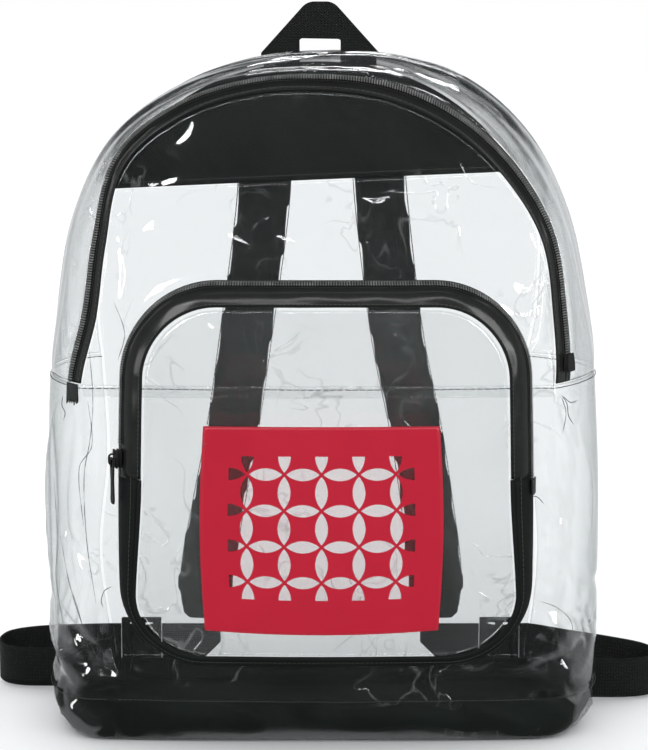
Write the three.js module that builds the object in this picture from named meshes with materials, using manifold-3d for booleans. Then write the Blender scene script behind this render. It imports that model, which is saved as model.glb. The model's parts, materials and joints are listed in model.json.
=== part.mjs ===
// Clear zipped backpack with black trim, in millimetres, +Z up, front facing -Y.
import * as THREE from 'three';
import { mergeVertices } from 'three/addons/utils/BufferGeometryUtils.js';
import Module from 'manifold-3d';

const wasm = await Module();
wasm.setup();

// Bag body
const HALF_WIDTH = 166;
const SEAM_HEIGHT = 214;
const ARCH_RISE = 188;
const FRONT_DEPTH = 62;
const FRONT_CROWN = 10;
const ARCH_LEAN = 12;
const BACK_DEPTH = 68;
const BACK_CROWN = 4;

// A wall rib between the back seam and the front edge: shares of its swell at both inner points,
// and how far forward the rear one is drawn
const RIB_REAR_SWELL = 0.45;
const RIB_REAR_DRAW = 0.17;
const RIB_FRONT_SWELL = 0.55;
const VINYL_WALL = 1;
const FABRIC_WALL = 1.2;
const YOKE_HEIGHT = 326;
const BASE_FRONT_HEIGHT = 28;
const BASE_BACK_HEIGHT = 14;
const BASE_EDGE_RADIUS = 12;

// Gaps: a butt seam between two sheets, a seam across a crease, and a piece laid on another
const SEAM_GAP = 0.6;
const CREASE_GAP = 1.1;
const LAY_GAP = 0.35;

// Main zip
const ZIP_BAND = 15;
const ZIP_TAPE_WALL = 0.9;
const COIL_WIDTH = 4.4;
const COIL_HEIGHT = 1.8;
const COIL_PLACE = 0.64;
const ZIP_BEVEL_TOP = 30;
const ZIP_BEVEL_SIDE = 50;
const ZIP_TAIL_LENGTH = 9;
const ZIP_TAIL_DROP = 1;
const ZIP_TAIL_LINES = [ZIP_BAND * 0.9, ZIP_BAND * 0.5, 1.5];

// Zip sliders and the pull on the pocket slider
const SLIDER_LENGTH = 11;
const SLIDER_WIDTH = 8.4;
const SLIDER_HEIGHT = 3.4;
const BAIL_WIDTH = 1.8;
const BAIL_WALL = 1.2;
const BAIL_WINDOW_LENGTH = 5;
const BAIL_WINDOW_HEIGHT = 2.8;
const PULL_LENGTH = 26;
const PULL_WIDTH = 6;
const PULL_WALL = 1.2;
const PULL_CLEARANCE = 0.5;

// Front pocket
const POCKET_CENTRE_X = 3.5;
const POCKET_BOTTOM = 50;
const POCKET_HALF_WIDTH = 116;
const POCKET_HEIGHT = 224.5;
const POCKET_TOP_RADIUS = 54;
const POCKET_SAG = 0.035;
const POCKET_BOTTOM_RADIUS = 46;
const POCKET_PROUD = 18;
const POCKET_DOME = 4;
const POCKET_STANDOFF = 1.6;
const POCKET_BAND_TOP = 14;
const POCKET_BAND_BOTTOM = 9;
const POCKET_ZIP_END_HEIGHT = 162;
const POCKET_COIL_PLACE = 0.3;
const POCKET_TAPE_END = 0.97;
const POCKET_BAND_END = 0.82;
const POCKET_TAIL_LINES = [0.08, 0.42];
const PIPING_RADIUS = 1.3;
const PRINT_WIDTH = 134;
const PRINT_HEIGHT = 119;
const PRINT_BOTTOM = 75;
const PRINT_CENTRE_X = 1;
const PRINT_BOW = 2.5;
const PRINT_WALL = 0.8;

// Haul handle
const WEBBING_WIDTH = 25;
const WEBBING_WALL = 1.8;
const HANDLE_SPREAD = 75;
const HANDLE_RISE = 33;
const HANDLE_TOP_WIDTH = 20;
const HANDLE_GAP_HEIGHT = 10;
const HANDLE_SEWN_LENGTH = 18;
const HANDLE_WALL = 2.6;

// Shoulder straps, buckles and lower webbing
const STRAP_WIDTH = 40;
const STRAP_WALL = 9;
const LOCK_LENGTH = 26;
const LOCK_HEIGHT = 33;
const LOCK_WALL = 4;
const LOCK_SLOT = 5;
const LOCK_SLOT_PLAY = 0.6;
const TAB_REACH = 26;
const LOOP_REACH_LEFT = 42;
const LOOP_REACH_RIGHT = 47;
const LOOP_FORWARD = 36;
const LOOP_FLOOR_CLEARANCE = 1.5;

// How finely the sheets are cut
const WELD_REACH = 1e-4;
const ARCH_STATIONS = 36;
const RIB_STEPS = 6;
const FRONT_STEPS = 12;
const BACK_STEPS = 10;

// The arch above the cross seam: turn is the angle round the arch from right to left, and the
// others are shares of the ellipse that HALF_WIDTH and ARCH_RISE give
const ARCH_ROWS = [
  { turn: 0, front: 0.819, belly: 1.0, back: 0.789 },
  { turn: 15, front: 0.835, belly: 0.994, back: 0.86 },
  { turn: 30, front: 0.882, belly: 1.028, back: 0.945 },
  { turn: 45, front: 0.894, belly: 1.06, back: 0.98 },
  { turn: 60, front: 0.898, belly: 1.06, back: 0.99 },
  { turn: 75, front: 0.896, belly: 1.027, back: 0.988 },
  { turn: 90, front: 0.894, belly: 1.0, back: 0.984 },
  { turn: 105, front: 0.913, belly: 1.01, back: 0.992 },
  { turn: 120, front: 0.94, belly: 1.039, back: 1.004 },
  { turn: 135, front: 0.945, belly: 1.056, back: 1.002 },
  { turn: 150, front: 0.852, belly: 1.032, back: 0.95 },
  { turn: 165, front: 0.8, belly: 0.993, back: 0.881 },
  { turn: 180, front: 0.83, belly: 0.979, back: 0.837 },
];

// The sides below the cross seam: up is a share of SEAM_HEIGHT, bevel a share of ZIP_BEVEL_SIDE,
// and the others are shares of HALF_WIDTH
const SIDE_ROWS = [
  {
    up: 0.0, frontLeft: 0.8, bellyLeft: 0.965, backLeft: 0.8,
    frontRight: 0.8, bellyRight: 0.98, backRight: 0.8, bevel: 0,
  },
  {
    up: 0.13, frontLeft: 0.8, bellyLeft: 0.985, backLeft: 0.815,
    frontRight: 0.8, bellyRight: 1.01, backRight: 0.815, bevel: 0.05,
  },
  {
    up: 0.4, frontLeft: 0.81, bellyLeft: 0.994, backLeft: 0.855,
    frontRight: 0.8, bellyRight: 1.018, backRight: 0.84, bevel: 0.15,
  },
  {
    up: 0.7, frontLeft: 0.82, bellyLeft: 0.988, backLeft: 0.82,
    frontRight: 0.81, bellyRight: 1.015, backRight: 0.81, bevel: 0.45,
  },
  {
    up: 1.0, frontLeft: 0.83, bellyLeft: 0.979, backLeft: 0.837,
    frontRight: 0.819, bellyRight: 1.0, backRight: 0.789, bevel: 1,
  },
];

// Soft folds of the top gusset: turn and turnSpread in degrees, across and acrossSpread are
// shares of the way from the back seam to the zip, depth is a share of HALF_WIDTH
const GUSSET_FOLDS = [
  { turn: 28, turnSpread: 16, across: 0.75, acrossSpread: 0.12, depth: -0.016 },
  { turn: 52, turnSpread: 14, across: 0.62, acrossSpread: 0.14, depth: 0.014 },
  { turn: 70, turnSpread: 12, across: 0.35, acrossSpread: 0.16, depth: -0.014 },
  { turn: 118, turnSpread: 13, across: 0.55, acrossSpread: 0.14, depth: -0.012 },
  { turn: 152, turnSpread: 12, across: 0.7, acrossSpread: 0.14, depth: -0.016 },
];

// Dents of the side walls: side is -1 left and 1 right, up and upSpread are shares of SEAM_HEIGHT,
// and the others are as above
const SIDE_FOLDS = [
  { side: -1, up: 0.28, upSpread: 0.12, across: 0.6, acrossSpread: 0.16, depth: -0.03 },
  { side: -1, up: 0.62, upSpread: 0.14, across: 0.4, acrossSpread: 0.16, depth: -0.014 },
  { side: -1, up: 0.8, upSpread: 0.1, across: 0.72, acrossSpread: 0.14, depth: 0.012 },
  { side: 1, up: 0.24, upSpread: 0.1, across: 0.66, acrossSpread: 0.16, depth: -0.024 },
  { side: 1, up: 0.7, upSpread: 0.16, across: 0.5, acrossSpread: 0.18, depth: -0.012 },
];

// The turned-up base: up is a share of its height, inset a share of BASE_EDGE_RADIUS
const BASE_ROWS = [
  { up: 1.0, inset: 0 },
  { up: 0.6, inset: 0.03 },
  { up: 0.3, inset: 0.2 },
  { up: 0.09, inset: 0.58 },
  { up: 0.0, inset: 1.0 },
];

// The pocket's edge band from the bag (across 0) to the pocket face (across 1)
const POCKET_BAND_ROWS = [
  { across: 0, inset: 0, proud: 0 },
  { across: 0.3, inset: 0.14, proud: 0.46 },
  { across: 0.6, inset: 0.42, proud: 0.8 },
  { across: 1, inset: 1, proud: 1 },
];

// The padded straps: up is a share of the height of the bag, out a share of HALF_WIDTH, behind a
// share of STRAP_WALL clear of the back, wide a share of STRAP_WIDTH
const STRAP_ROWS = [
  { up: 0.945, outLeft: 0.2, outRight: 0.2, behind: -0.6, wide: 0.92 },
  { up: 0.87, outLeft: 0.205, outRight: 0.215, behind: 0.05, wide: 0.98 },
  { up: 0.75, outLeft: 0.225, outRight: 0.24, behind: 1.2, wide: 1 },
  { up: 0.55, outLeft: 0.292, outRight: 0.302, behind: 2.0, wide: 1 },
  { up: 0.4, outLeft: 0.345, outRight: 0.375, behind: 2.0, wide: 1 },
  { up: 0.28, outLeft: 0.4, outRight: 0.42, behind: 1.4, wide: 1 },
  { up: 0.16, outLeft: 0.45, outRight: 0.455, behind: 0.7, wide: 1 },
  { up: 0.085, outLeft: 0.47, outRight: 0.47, behind: 0.35, wide: 0.72 },
];

// The lower webbing's loop in plan, from the buckle to the side seam: out is a share of the reach
// beyond the buckle, forward a share of LOOP_FORWARD on each side, lift a share of WEBBING_WIDTH
const LOOP_ROWS = [
  { out: 0, forwardLeft: 0, forwardRight: 0, lift: 0.26 },
  { out: 0.08, forwardLeft: 0, forwardRight: 0, lift: 0.26 },
  { out: 0.35, forwardLeft: 0, forwardRight: 0.36, lift: 0.24 },
  { out: 0.7, forwardLeft: 0.02, forwardRight: 0.76, lift: 0.2 },
  { out: 0.93, forwardLeft: 0.16, forwardRight: 1.04, lift: 0.14 },
  { out: 1, forwardLeft: 0.5, forwardRight: 1.34, lift: 0.08 },
  { out: 0.93, forwardLeft: 0.84, forwardRight: 1.6, lift: 0.03 },
  { out: 0.75, forwardLeft: 0.98, forwardRight: 1.68, lift: 0 },
];

// Plain helpers
const vec = (x, y, z) => new THREE.Vector3(x, y, z);
const degrees = (angle) => THREE.MathUtils.degToRad(angle);
const share = (index, count) => index / count;
const list = (count, make) => Array.from({ length: count }, (_, index) => make(index));
const bump = (value, centre, spread) => Math.exp(-(((value - centre) / spread) ** 2));

// Smooth value of one column of a table at a place between its rows
function tableAt(rows, key, column, place) {
  let next = rows.findIndex((row) => row[key] >= place);
  if (next < 0) next = rows.length - 1;
  if (next === 0) next = 1;
  const from = rows[next - 1];
  const to = rows[next];
  const before = rows[next - 2] ?? from;
  const after = rows[next + 1] ?? to;
  const span = to[key] - from[key];
  const t = THREE.MathUtils.clamp((place - from[key]) / span, 0, 1);
  const slopeFrom = ((to[column] - before[column]) / (to[key] - before[key])) * span;
  const slopeTo = ((after[column] - from[column]) / (after[key] - from[key])) * span;
  const t2 = t * t;
  const t3 = t2 * t;
  return (
    (2 * t3 - 3 * t2 + 1) * from[column] +
    (t3 - 2 * t2 + t) * slopeFrom +
    (3 * t2 - 2 * t3) * to[column] +
    (t3 - t2) * slopeTo
  );
}

// Closed body from triangles, with doubled points joined and empty triangles left out
function bodyFrom(triangles) {
  const positions = triangles.flatMap((triangle) => triangle.flatMap((point) => point.toArray()));
  const loose = new THREE.BufferGeometry();
  loose.setAttribute('position', new THREE.Float32BufferAttribute(positions, 3));
  const merged = mergeVertices(loose, WELD_REACH);
  const index = Array.from(merged.index.array);
  const kept = [];
  let volume = 0;
  const corner = (which) => new THREE.Vector3().fromBufferAttribute(merged.attributes.position, which);
  for (let start = 0; start < index.length; start += 3) {
    const [a, b, c] = index.slice(start, start + 3);
    if (a === b || b === c || c === a) continue;
    kept.push(a, b, c);
    volume += corner(a).dot(corner(b).clone().cross(corner(c)));
  }
  if (volume < 0) kept.reverse();
  merged.setIndex(kept);
  merged.computeVertexNormals();
  return merged;
}

// Two triangles of a four-sided face
const quad = (a, b, c, d) => [[a, b, c], [a, c, d]];

// Sheet of even thickness centred on a grid of points; its last column may join its first
function sheet(grid, wall, looped = false) {
  const rows = grid.length - 1;
  const columns = grid[0].length - (looped ? 0 : 1);
  const wrap = (column) => column % grid[0].length;
  const nameOf = (point) => point.toArray().map((value) => value.toFixed(3)).join();
  const normals = new Map();
  for (let row = 0; row < rows; row += 1) {
    for (let column = 0; column < columns; column += 1) {
      const a = grid[row][column];
      const b = grid[row][wrap(column + 1)];
      const c = grid[row + 1][wrap(column + 1)];
      const d = grid[row + 1][column];
      const normal = c.clone().sub(a).cross(d.clone().sub(b));
      for (const point of [a, b, c, d]) {
        const name = nameOf(point);
        normals.set(name, (normals.get(name) ?? vec(0, 0, 0)).add(normal));
      }
    }
  }
  const face = (side) =>
    grid.map((line) =>
      line.map((point) => {
        const away = normals.get(nameOf(point)).clone().normalize();
        return point.clone().addScaledVector(away, (side * wall) / 2);
      }),
    );
  const top = face(1);
  const under = face(-1);
  const triangles = [];
  for (let row = 0; row < rows; row += 1) {
    for (let column = 0; column < columns; column += 1) {
      const next = wrap(column + 1);
      triangles.push(...quad(top[row][column], top[row][next], top[row + 1][next], top[row + 1][column]));
      const below = under[row + 1];
      triangles.push(...quad(under[row][column], below[column], below[next], under[row][next]));
    }
  }
  for (let column = 0; column < columns; column += 1) {
    const next = wrap(column + 1);
    triangles.push(...quad(top[0][column], under[0][column], under[0][next], top[0][next]));
    triangles.push(...quad(top[rows][column], top[rows][next], under[rows][next], under[rows][column]));
  }
  for (let row = 0; row < rows && !looped; row += 1) {
    const last = columns;
    triangles.push(...quad(top[row][0], top[row + 1][0], under[row + 1][0], under[row][0]));
    triangles.push(...quad(top[row][last], under[row][last], under[row + 1][last], top[row + 1][last]));
  }
  return bodyFrom(triangles);
}

// Solid through a row of convex rings, closed at both ends
function loft(rings) {
  const count = rings[0].length;
  const triangles = [];
  for (let station = 0; station < rings.length - 1; station += 1) {
    for (let side = 0; side < count; side += 1) {
      const next = (side + 1) % count;
      const [ring, after] = [rings[station], rings[station + 1]];
      triangles.push(...quad(ring[side], ring[next], after[next], after[side]));
    }
  }
  for (const [ring, turned] of [[rings[0], true], [rings.at(-1), false]]) {
    for (let side = 1; side < count - 1; side += 1) {
      triangles.push(turned ? [ring[0], ring[side + 1], ring[side]] : [ring[0], ring[side], ring[side + 1]]);
    }
  }
  return bodyFrom(triangles);
}

// Solid of a geometry, for joining and cutting
function solidOf(geometry) {
  const bare = geometry.clone();
  bare.deleteAttribute('normal');
  bare.deleteAttribute('uv');
  const merged = mergeVertices(bare, WELD_REACH);
  return new wasm.Manifold(
    new wasm.Mesh({
      numProp: 3,
      vertProperties: new Float32Array(merged.attributes.position.array),
      triVerts: new Uint32Array(merged.index.array),
    }),
  );
}

function geometryOf(solid) {
  const mesh = solid.getMesh();
  const geometry = new THREE.BufferGeometry();
  geometry.setAttribute('position', new THREE.Float32BufferAttribute(mesh.vertProperties, 3));
  geometry.setIndex(Array.from(mesh.triVerts));
  geometry.computeVertexNormals();
  return geometry;
}

// The bag's front surface, crowned across and leaning back above the cross seam
function frontY(x, z) {
  const crown = FRONT_CROWN * (1 - (x / HALF_WIDTH) ** 2);
  const above = Math.max(0, z - SEAM_HEIGHT) / ARCH_RISE;
  return -FRONT_DEPTH - crown + ARCH_LEAN * above ** 2;
}

// Point of the arch's front edge, belly or back edge at a turn
function archPoint(turn, column) {
  const size = tableAt(ARCH_ROWS, 'turn', column, turn);
  const x = HALF_WIDTH * size * Math.cos(degrees(turn));
  const z = SEAM_HEIGHT + ARCH_RISE * size * Math.sin(degrees(turn));
  return vec(x, column === 'front' ? frontY(x, z) : BACK_DEPTH, z);
}

// One rib of the side wall, from the back seam to the front edge, swelling out to the belly
function rib(back, front, outward, belly, bevel) {
  const swell = (8 * belly - 4 * back.dot(outward) - 4 * front.dot(outward)) / 3;
  const nearBack = back.clone().addScaledVector(outward, RIB_REAR_SWELL * swell);
  nearBack.y -= RIB_REAR_DRAW * (back.y - front.y);
  const nearFront = front.clone().addScaledVector(outward, RIB_FRONT_SWELL * swell);
  nearFront.y += RIB_FRONT_SWELL * swell * Math.tan(degrees(bevel));
  return new THREE.CubicBezierCurve3(back, nearBack, nearFront, front);
}

function archRib(turn) {
  const outward = vec(HALF_WIDTH * Math.cos(degrees(turn)), 0, ARCH_RISE * Math.sin(degrees(turn)));
  outward.normalize();
  const belly = archPoint(turn, 'belly').setY(0).sub(vec(0, 0, SEAM_HEIGHT)).dot(outward);
  const sideways = Math.cos(degrees(turn)) ** 2;
  const bevel = THREE.MathUtils.lerp(ZIP_BEVEL_TOP, ZIP_BEVEL_SIDE, sideways);
  const lift = vec(0, 0, SEAM_HEIGHT);
  const back = archPoint(turn, 'back').sub(lift);
  const front = archPoint(turn, 'front').sub(lift);
  const curve = rib(back, front, outward, belly, bevel);
  for (const point of [curve.v0, curve.v1, curve.v2, curve.v3]) point.add(lift);
  return { curve, outward };
}

function sideRib(side, z) {
  const up = z / SEAM_HEIGHT;
  const suffix = side < 0 ? 'Left' : 'Right';
  const across = (column) => side * HALF_WIDTH * tableAt(SIDE_ROWS, 'up', column + suffix, up);
  const outward = vec(side, 0, 0);
  const frontX = across('front');
  const bevel = ZIP_BEVEL_SIDE * tableAt(SIDE_ROWS, 'up', 'bevel', up);
  const curve = rib(
    vec(across('back'), BACK_DEPTH, z),
    vec(frontX, frontY(frontX, z), z),
    outward,
    across('belly') * side,
    bevel,
  );
  return { curve, outward };
}

// Point at a length along a rib, measured from the front edge
const fromFront = ({ curve }, length) => curve.getPointAt(1 - length / curve.getLength());

// Point at a share of the rib between the back seam gap and a length kept clear at the front
function ribPoint(ribAt, across, clearFront) {
  const length = ribAt.curve.getLength();
  const from = CREASE_GAP / length;
  const to = 1 - clearFront / length;
  return ribAt.curve.getPointAt(THREE.MathUtils.lerp(from, to, across));
}

// The turn at which the arch is a little above the cross seam
const ARCH_START = THREE.MathUtils.radToDeg(SEAM_GAP / 2 / (ARCH_RISE * ARCH_ROWS[0].back));
const archTurn = (station) => THREE.MathUtils.lerp(180 - ARCH_START, ARCH_START, share(station, ARCH_STATIONS));

function foldDepth(folds, place, key, spreadKey, across) {
  const sum = folds.reduce(
    (total, fold) =>
      total + fold.depth * bump(place, fold[key], fold[spreadKey]) * bump(across, fold.across, fold.acrossSpread),
    0,
  );
  return HALF_WIDTH * sum * Math.sin(Math.PI * across);
}

function topGusset() {
  const grid = list(ARCH_STATIONS + 1, (station) => {
    const turn = archTurn(station);
    const ribAt = archRib(turn);
    const fade = Math.sin(degrees(turn)) ** 0.5;
    return list(RIB_STEPS + 1, (step) => {
      const across = share(step, RIB_STEPS);
      const depth = foldDepth(GUSSET_FOLDS, turn, 'turn', 'turnSpread', across) * fade;
      return ribPoint(ribAt, across, ZIP_BAND + SEAM_GAP).addScaledVector(ribAt.outward, depth);
    });
  });
  return sheet(grid, VINYL_WALL);
}

// Section of the lower body at a height, from the left back seam round the front to the right one
function lowerSection(z, foldFade) {
  const wallSide = (side) => {
    const ribAt = sideRib(side, z);
    const folds = SIDE_FOLDS.filter((fold) => fold.side === side);
    return list(RIB_STEPS + 1, (step) => {
      const across = share(step, RIB_STEPS);
      const depth = foldDepth(folds, z / SEAM_HEIGHT, 'up', 'upSpread', across) * foldFade;
      return ribPoint(ribAt, across, 0).addScaledVector(ribAt.outward, depth);
    });
  };
  const left = wallSide(-1);
  const right = wallSide(1).reverse();
  const front = list(FRONT_STEPS - 1, (step) => {
    const x = THREE.MathUtils.lerp(left.at(-1).x, right[0].x, share(step + 1, FRONT_STEPS));
    return vec(x, frontY(x, z), z);
  });
  return [...left, ...front, ...right];
}

function lowerPanel() {
  const rows = 8;
  const low = BASE_FRONT_HEIGHT + SEAM_GAP / 2;
  const high = SEAM_HEIGHT - SEAM_GAP / 2;
  const grid = list(rows + 1, (row) => {
    const up = share(row, rows);
    return lowerSection(THREE.MathUtils.lerp(low, high, up), Math.sin(Math.PI * up));
  });
  return sheet(grid, VINYL_WALL);
}

function frontUpperPanel() {
  const rows = 6;
  const columns = 26;
  const edge = (turn) => {
    const point = archPoint(turn, 'front');
    const { outward } = archRib(turn);
    return point.addScaledVector(outward, -CREASE_GAP);
  };
  const bottomZ = SEAM_HEIGHT + SEAM_GAP / 2;
  const left = edge(180).x;
  const right = edge(0).x;
  const grid = list(rows + 1, (row) =>
    list(columns + 1, (column) => {
      const turn = THREE.MathUtils.lerp(180 - ARCH_START, ARCH_START, share(column, columns));
      const top = edge(turn);
      const bottom = vec(THREE.MathUtils.lerp(left, right, (1 - Math.cos(degrees(180 - turn))) / 2), 0, bottomZ);
      const point = bottom.lerp(top.setY(0).setZ(Math.max(top.z, bottomZ)), share(row, rows));
      return point.setY(frontY(point.x, point.z));
    }),
  );
  grid.forEach((line, row) => {
    const low = bottomZ + 0.02 * row;
    line[0].z = Math.max(line[0].z, low);
    line.at(-1).z = Math.max(line.at(-1).z, low);
  });
  return sheet(grid, VINYL_WALL);
}

// Where the yoke's lower edge meets the arch
const yokeTurn = (() => {
  let turn = 0;
  while (archPoint(turn, 'back').z < YOKE_HEIGHT && turn < 80) turn += 0.5;
  return turn;
})();

// Back edges below the yoke, from the base up: a share of 0 is the base and 1 the yoke
function backEdge(side, up) {
  const archShare = (YOKE_HEIGHT - SEAM_HEIGHT) / (YOKE_HEIGHT - BASE_BACK_HEIGHT);
  const low = BASE_BACK_HEIGHT + SEAM_GAP / 2;
  if (up < 1 - archShare) {
    const z = THREE.MathUtils.lerp(low, SEAM_HEIGHT, up / (1 - archShare));
    return sideRib(side, z).curve.v0.clone();
  }
  const turn = (yokeTurn * (up - 1 + archShare)) / archShare;
  return archPoint(side < 0 ? 180 - turn : turn, 'back');
}

const backInset = (point, side) => point.clone().setX(point.x - side * CREASE_GAP);

function backPanel() {
  const rows = 12;
  const grid = list(rows + 1, (row) => {
    const up = share(row, rows);
    const left = backInset(backEdge(-1, up), -1);
    const right = backInset(backEdge(1, up), 1);
    return list(BACK_STEPS + 1, (column) => {
      const across = share(column, BACK_STEPS);
      const point = left.clone().lerp(right, across);
      const swell = Math.sin(Math.PI * across) * Math.sin((Math.PI / 2) * up);
      return point.setY(BACK_DEPTH + BACK_CROWN * swell);
    });
  });
  return sheet(grid, VINYL_WALL);
}

function backYoke() {
  const rows = 4;
  const columns = 20;
  const left = backInset(backEdge(-1, 1), -1).add(vec(0, 0, SEAM_GAP));
  const right = backInset(backEdge(1, 1), 1).add(vec(0, 0, SEAM_GAP));
  const grid = list(rows + 1, (row) =>
    list(columns + 1, (column) => {
      const across = share(column, columns);
      const turn = THREE.MathUtils.lerp(180 - yokeTurn - 0.5, yokeTurn + 0.5, across);
      const { outward } = archRib(turn);
      const edge = archPoint(turn, 'back').addScaledVector(outward, -CREASE_GAP);
      const bottom = left.clone().lerp(right, across);
      const up = share(row, rows);
      const point = bottom.lerp(edge, up);
      return point.setY(BACK_DEPTH + BACK_CROWN * Math.sin(Math.PI * across) * (1 - up));
    }),
  );
  return sheet(grid, FABRIC_WALL);
}

// The base: turned-up walls, a rounded lower edge and a flat bottom
function baseTray() {
  const backSteps = 8;
  const outline = (z) => {
    const section = lowerSection(z, 0);
    const start = section.at(-1);
    const end = section[0];
    const back = list(backSteps - 1, (step) => {
      const across = share(step + 1, backSteps);
      return vec(THREE.MathUtils.lerp(start.x, end.x, across), BACK_DEPTH, z);
    });
    return [...section, ...back];
  };
  const wallHeight = (y) => {
    const rear = THREE.MathUtils.smoothstep(y, 0.25 * BACK_DEPTH, 0.96 * BACK_DEPTH);
    return THREE.MathUtils.lerp(BASE_FRONT_HEIGHT, BASE_BACK_HEIGHT, rear) - SEAM_GAP / 2;
  };
  const walls = BASE_ROWS.map(({ up, inset }) => {
    const guide = outline(BASE_FRONT_HEIGHT);
    return guide.map((point, index) => {
      const z = wallHeight(point.y) * up;
      const place = outline(z)[index];
      const reach = Math.hypot(place.x, place.y);
      return place.multiplyScalar(1 - (BASE_EDGE_RADIUS * inset) / reach).setZ(z + FABRIC_WALL / 2);
    });
  });
  const floor = [0.5, 0].map((size) =>
    walls.at(-1).map((point) => vec(point.x * size, point.y * size, FABRIC_WALL / 2)),
  );
  walls[0].forEach((point) => point.setZ(point.z - FABRIC_WALL / 2));
  return sheet([...walls, ...floor], FABRIC_WALL, true);
}

// A band of the main zip between two lengths from the front edge
function zipBand(from, to, wall) {
  const grid = list(ARCH_STATIONS + 1, (station) => {
    const ribAt = archRib(archTurn(station));
    return [fromFront(ribAt, to), fromFront(ribAt, from)];
  });
  return sheet(grid, wall);
}

// The raised row of zip teeth as a low ridge along a path of frames
function coilRidge(frames) {
  const profile = [
    { side: -0.5, up: 0 },
    { side: 0.5, up: 0 },
    { side: 0.3, up: 1 },
    { side: -0.3, up: 1 },
  ];
  return loft(
    frames.map(({ at, side, out }) =>
      profile.map((corner) =>
        at
          .clone()
          .addScaledVector(side, corner.side * COIL_WIDTH)
          .addScaledVector(out, corner.up * COIL_HEIGHT),
      ),
    ),
  );
}

// Frame on the main zip at a turn: a point on its face, the way across it and the way out
function mainZipFrame(turn) {
  const ribAt = archRib(turn);
  const length = ribAt.curve.getLength();
  const middle = 1 - (ZIP_BAND * COIL_PLACE) / length;
  const side = ribAt.curve.getTangentAt(middle);
  const along = ribAt.outward.clone().cross(vec(0, 1, 0));
  const out = side.clone().cross(along).normalize();
  if (out.dot(ribAt.outward) < 0) out.negate();
  const at = ribAt.curve.getPointAt(middle).addScaledVector(out, ZIP_TAPE_WALL / 2 + 2 * LAY_GAP);
  return { at, side, out };
}

// Turn of the arch that lies a given height above the cross seam on one side
const turnAbove = (height) => THREE.MathUtils.radToDeg(Math.asin(height / (ARCH_RISE * ARCH_ROWS[0].front)));
const MAIN_SLIDER_TURN = turnAbove(SLIDER_LENGTH * 0.5 + 3);
const MAIN_COIL_START = turnAbove(SLIDER_LENGTH + 4);

function mainZipCoil() {
  const frames = list(ARCH_STATIONS + 1, (station) => {
    const turn = THREE.MathUtils.lerp(180 - ARCH_START, MAIN_COIL_START, share(station, ARCH_STATIONS));
    return mainZipFrame(turn);
  });
  return coilRidge(frames);
}

// Slider body standing on the tape, with the bail that a pull hangs on
function sliderBody(withBail) {
  const outline = new THREE.Shape();
  const halfLength = SLIDER_LENGTH / 2;
  const halfWidth = SLIDER_WIDTH / 2;
  outline.moveTo(-halfWidth * 0.7, -halfLength);
  outline.lineTo(halfWidth * 0.7, -halfLength);
  outline.lineTo(halfWidth, halfLength * 0.2);
  outline.lineTo(halfWidth, halfLength);
  outline.lineTo(-halfWidth, halfLength);
  outline.lineTo(-halfWidth, halfLength * 0.2);
  const body = solidOf(new THREE.ExtrudeGeometry(outline, { depth: SLIDER_HEIGHT, bevelEnabled: false }));
  if (!withBail) return geometryOf(body);
  const long = BAIL_WINDOW_LENGTH + 2 * BAIL_WALL;
  const high = BAIL_WINDOW_HEIGHT + BAIL_WALL;
  const arch = new THREE.Shape();
  arch.moveTo(-long / 2, 0);
  arch.lineTo(long / 2, 0);
  arch.lineTo(long / 2, high * 0.6);
  arch.lineTo(long * 0.3, high);
  arch.lineTo(-long * 0.3, high);
  arch.lineTo(-long / 2, high * 0.6);
  const window = new THREE.Path();
  window.moveTo(-BAIL_WINDOW_LENGTH / 2, 0.01);
  window.lineTo(-BAIL_WINDOW_LENGTH / 2, BAIL_WINDOW_HEIGHT * 0.75);
  window.lineTo(-BAIL_WINDOW_LENGTH * 0.32, BAIL_WINDOW_HEIGHT);
  window.lineTo(BAIL_WINDOW_LENGTH * 0.32, BAIL_WINDOW_HEIGHT);
  window.lineTo(BAIL_WINDOW_LENGTH / 2, BAIL_WINDOW_HEIGHT * 0.75);
  window.lineTo(BAIL_WINDOW_LENGTH / 2, 0.01);
  arch.holes.push(window);
  const bail = new THREE.ExtrudeGeometry(arch, { depth: BAIL_WIDTH, bevelEnabled: false });
  bail.translate(0, 0, -BAIL_WIDTH / 2);
  bail.applyMatrix4(new THREE.Matrix4().makeBasis(vec(0, 1, 0), vec(0, 0, 1), vec(1, 0, 0)));
  bail.translate(0, 0, SLIDER_HEIGHT - 0.01);
  return geometryOf(body.add(solidOf(bail)));
}

// Puts a piece made flat, with its width on X, length on Y and height on Z, on a frame
function standOn(geometry, { at, side, out }) {
  const along = out.clone().cross(side);
  const matrix = new THREE.Matrix4().makeBasis(side, along, out).setPosition(at);
  return geometry.applyMatrix4(matrix);
}

// How much wider the soft pocket hangs below its middle
function pocketSag(z) {
  const up = THREE.MathUtils.clamp((z - POCKET_BOTTOM) / POCKET_HEIGHT, 0, 1);
  return 1 + POCKET_SAG * Math.sin(Math.PI * up ** 0.6);
}

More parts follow.
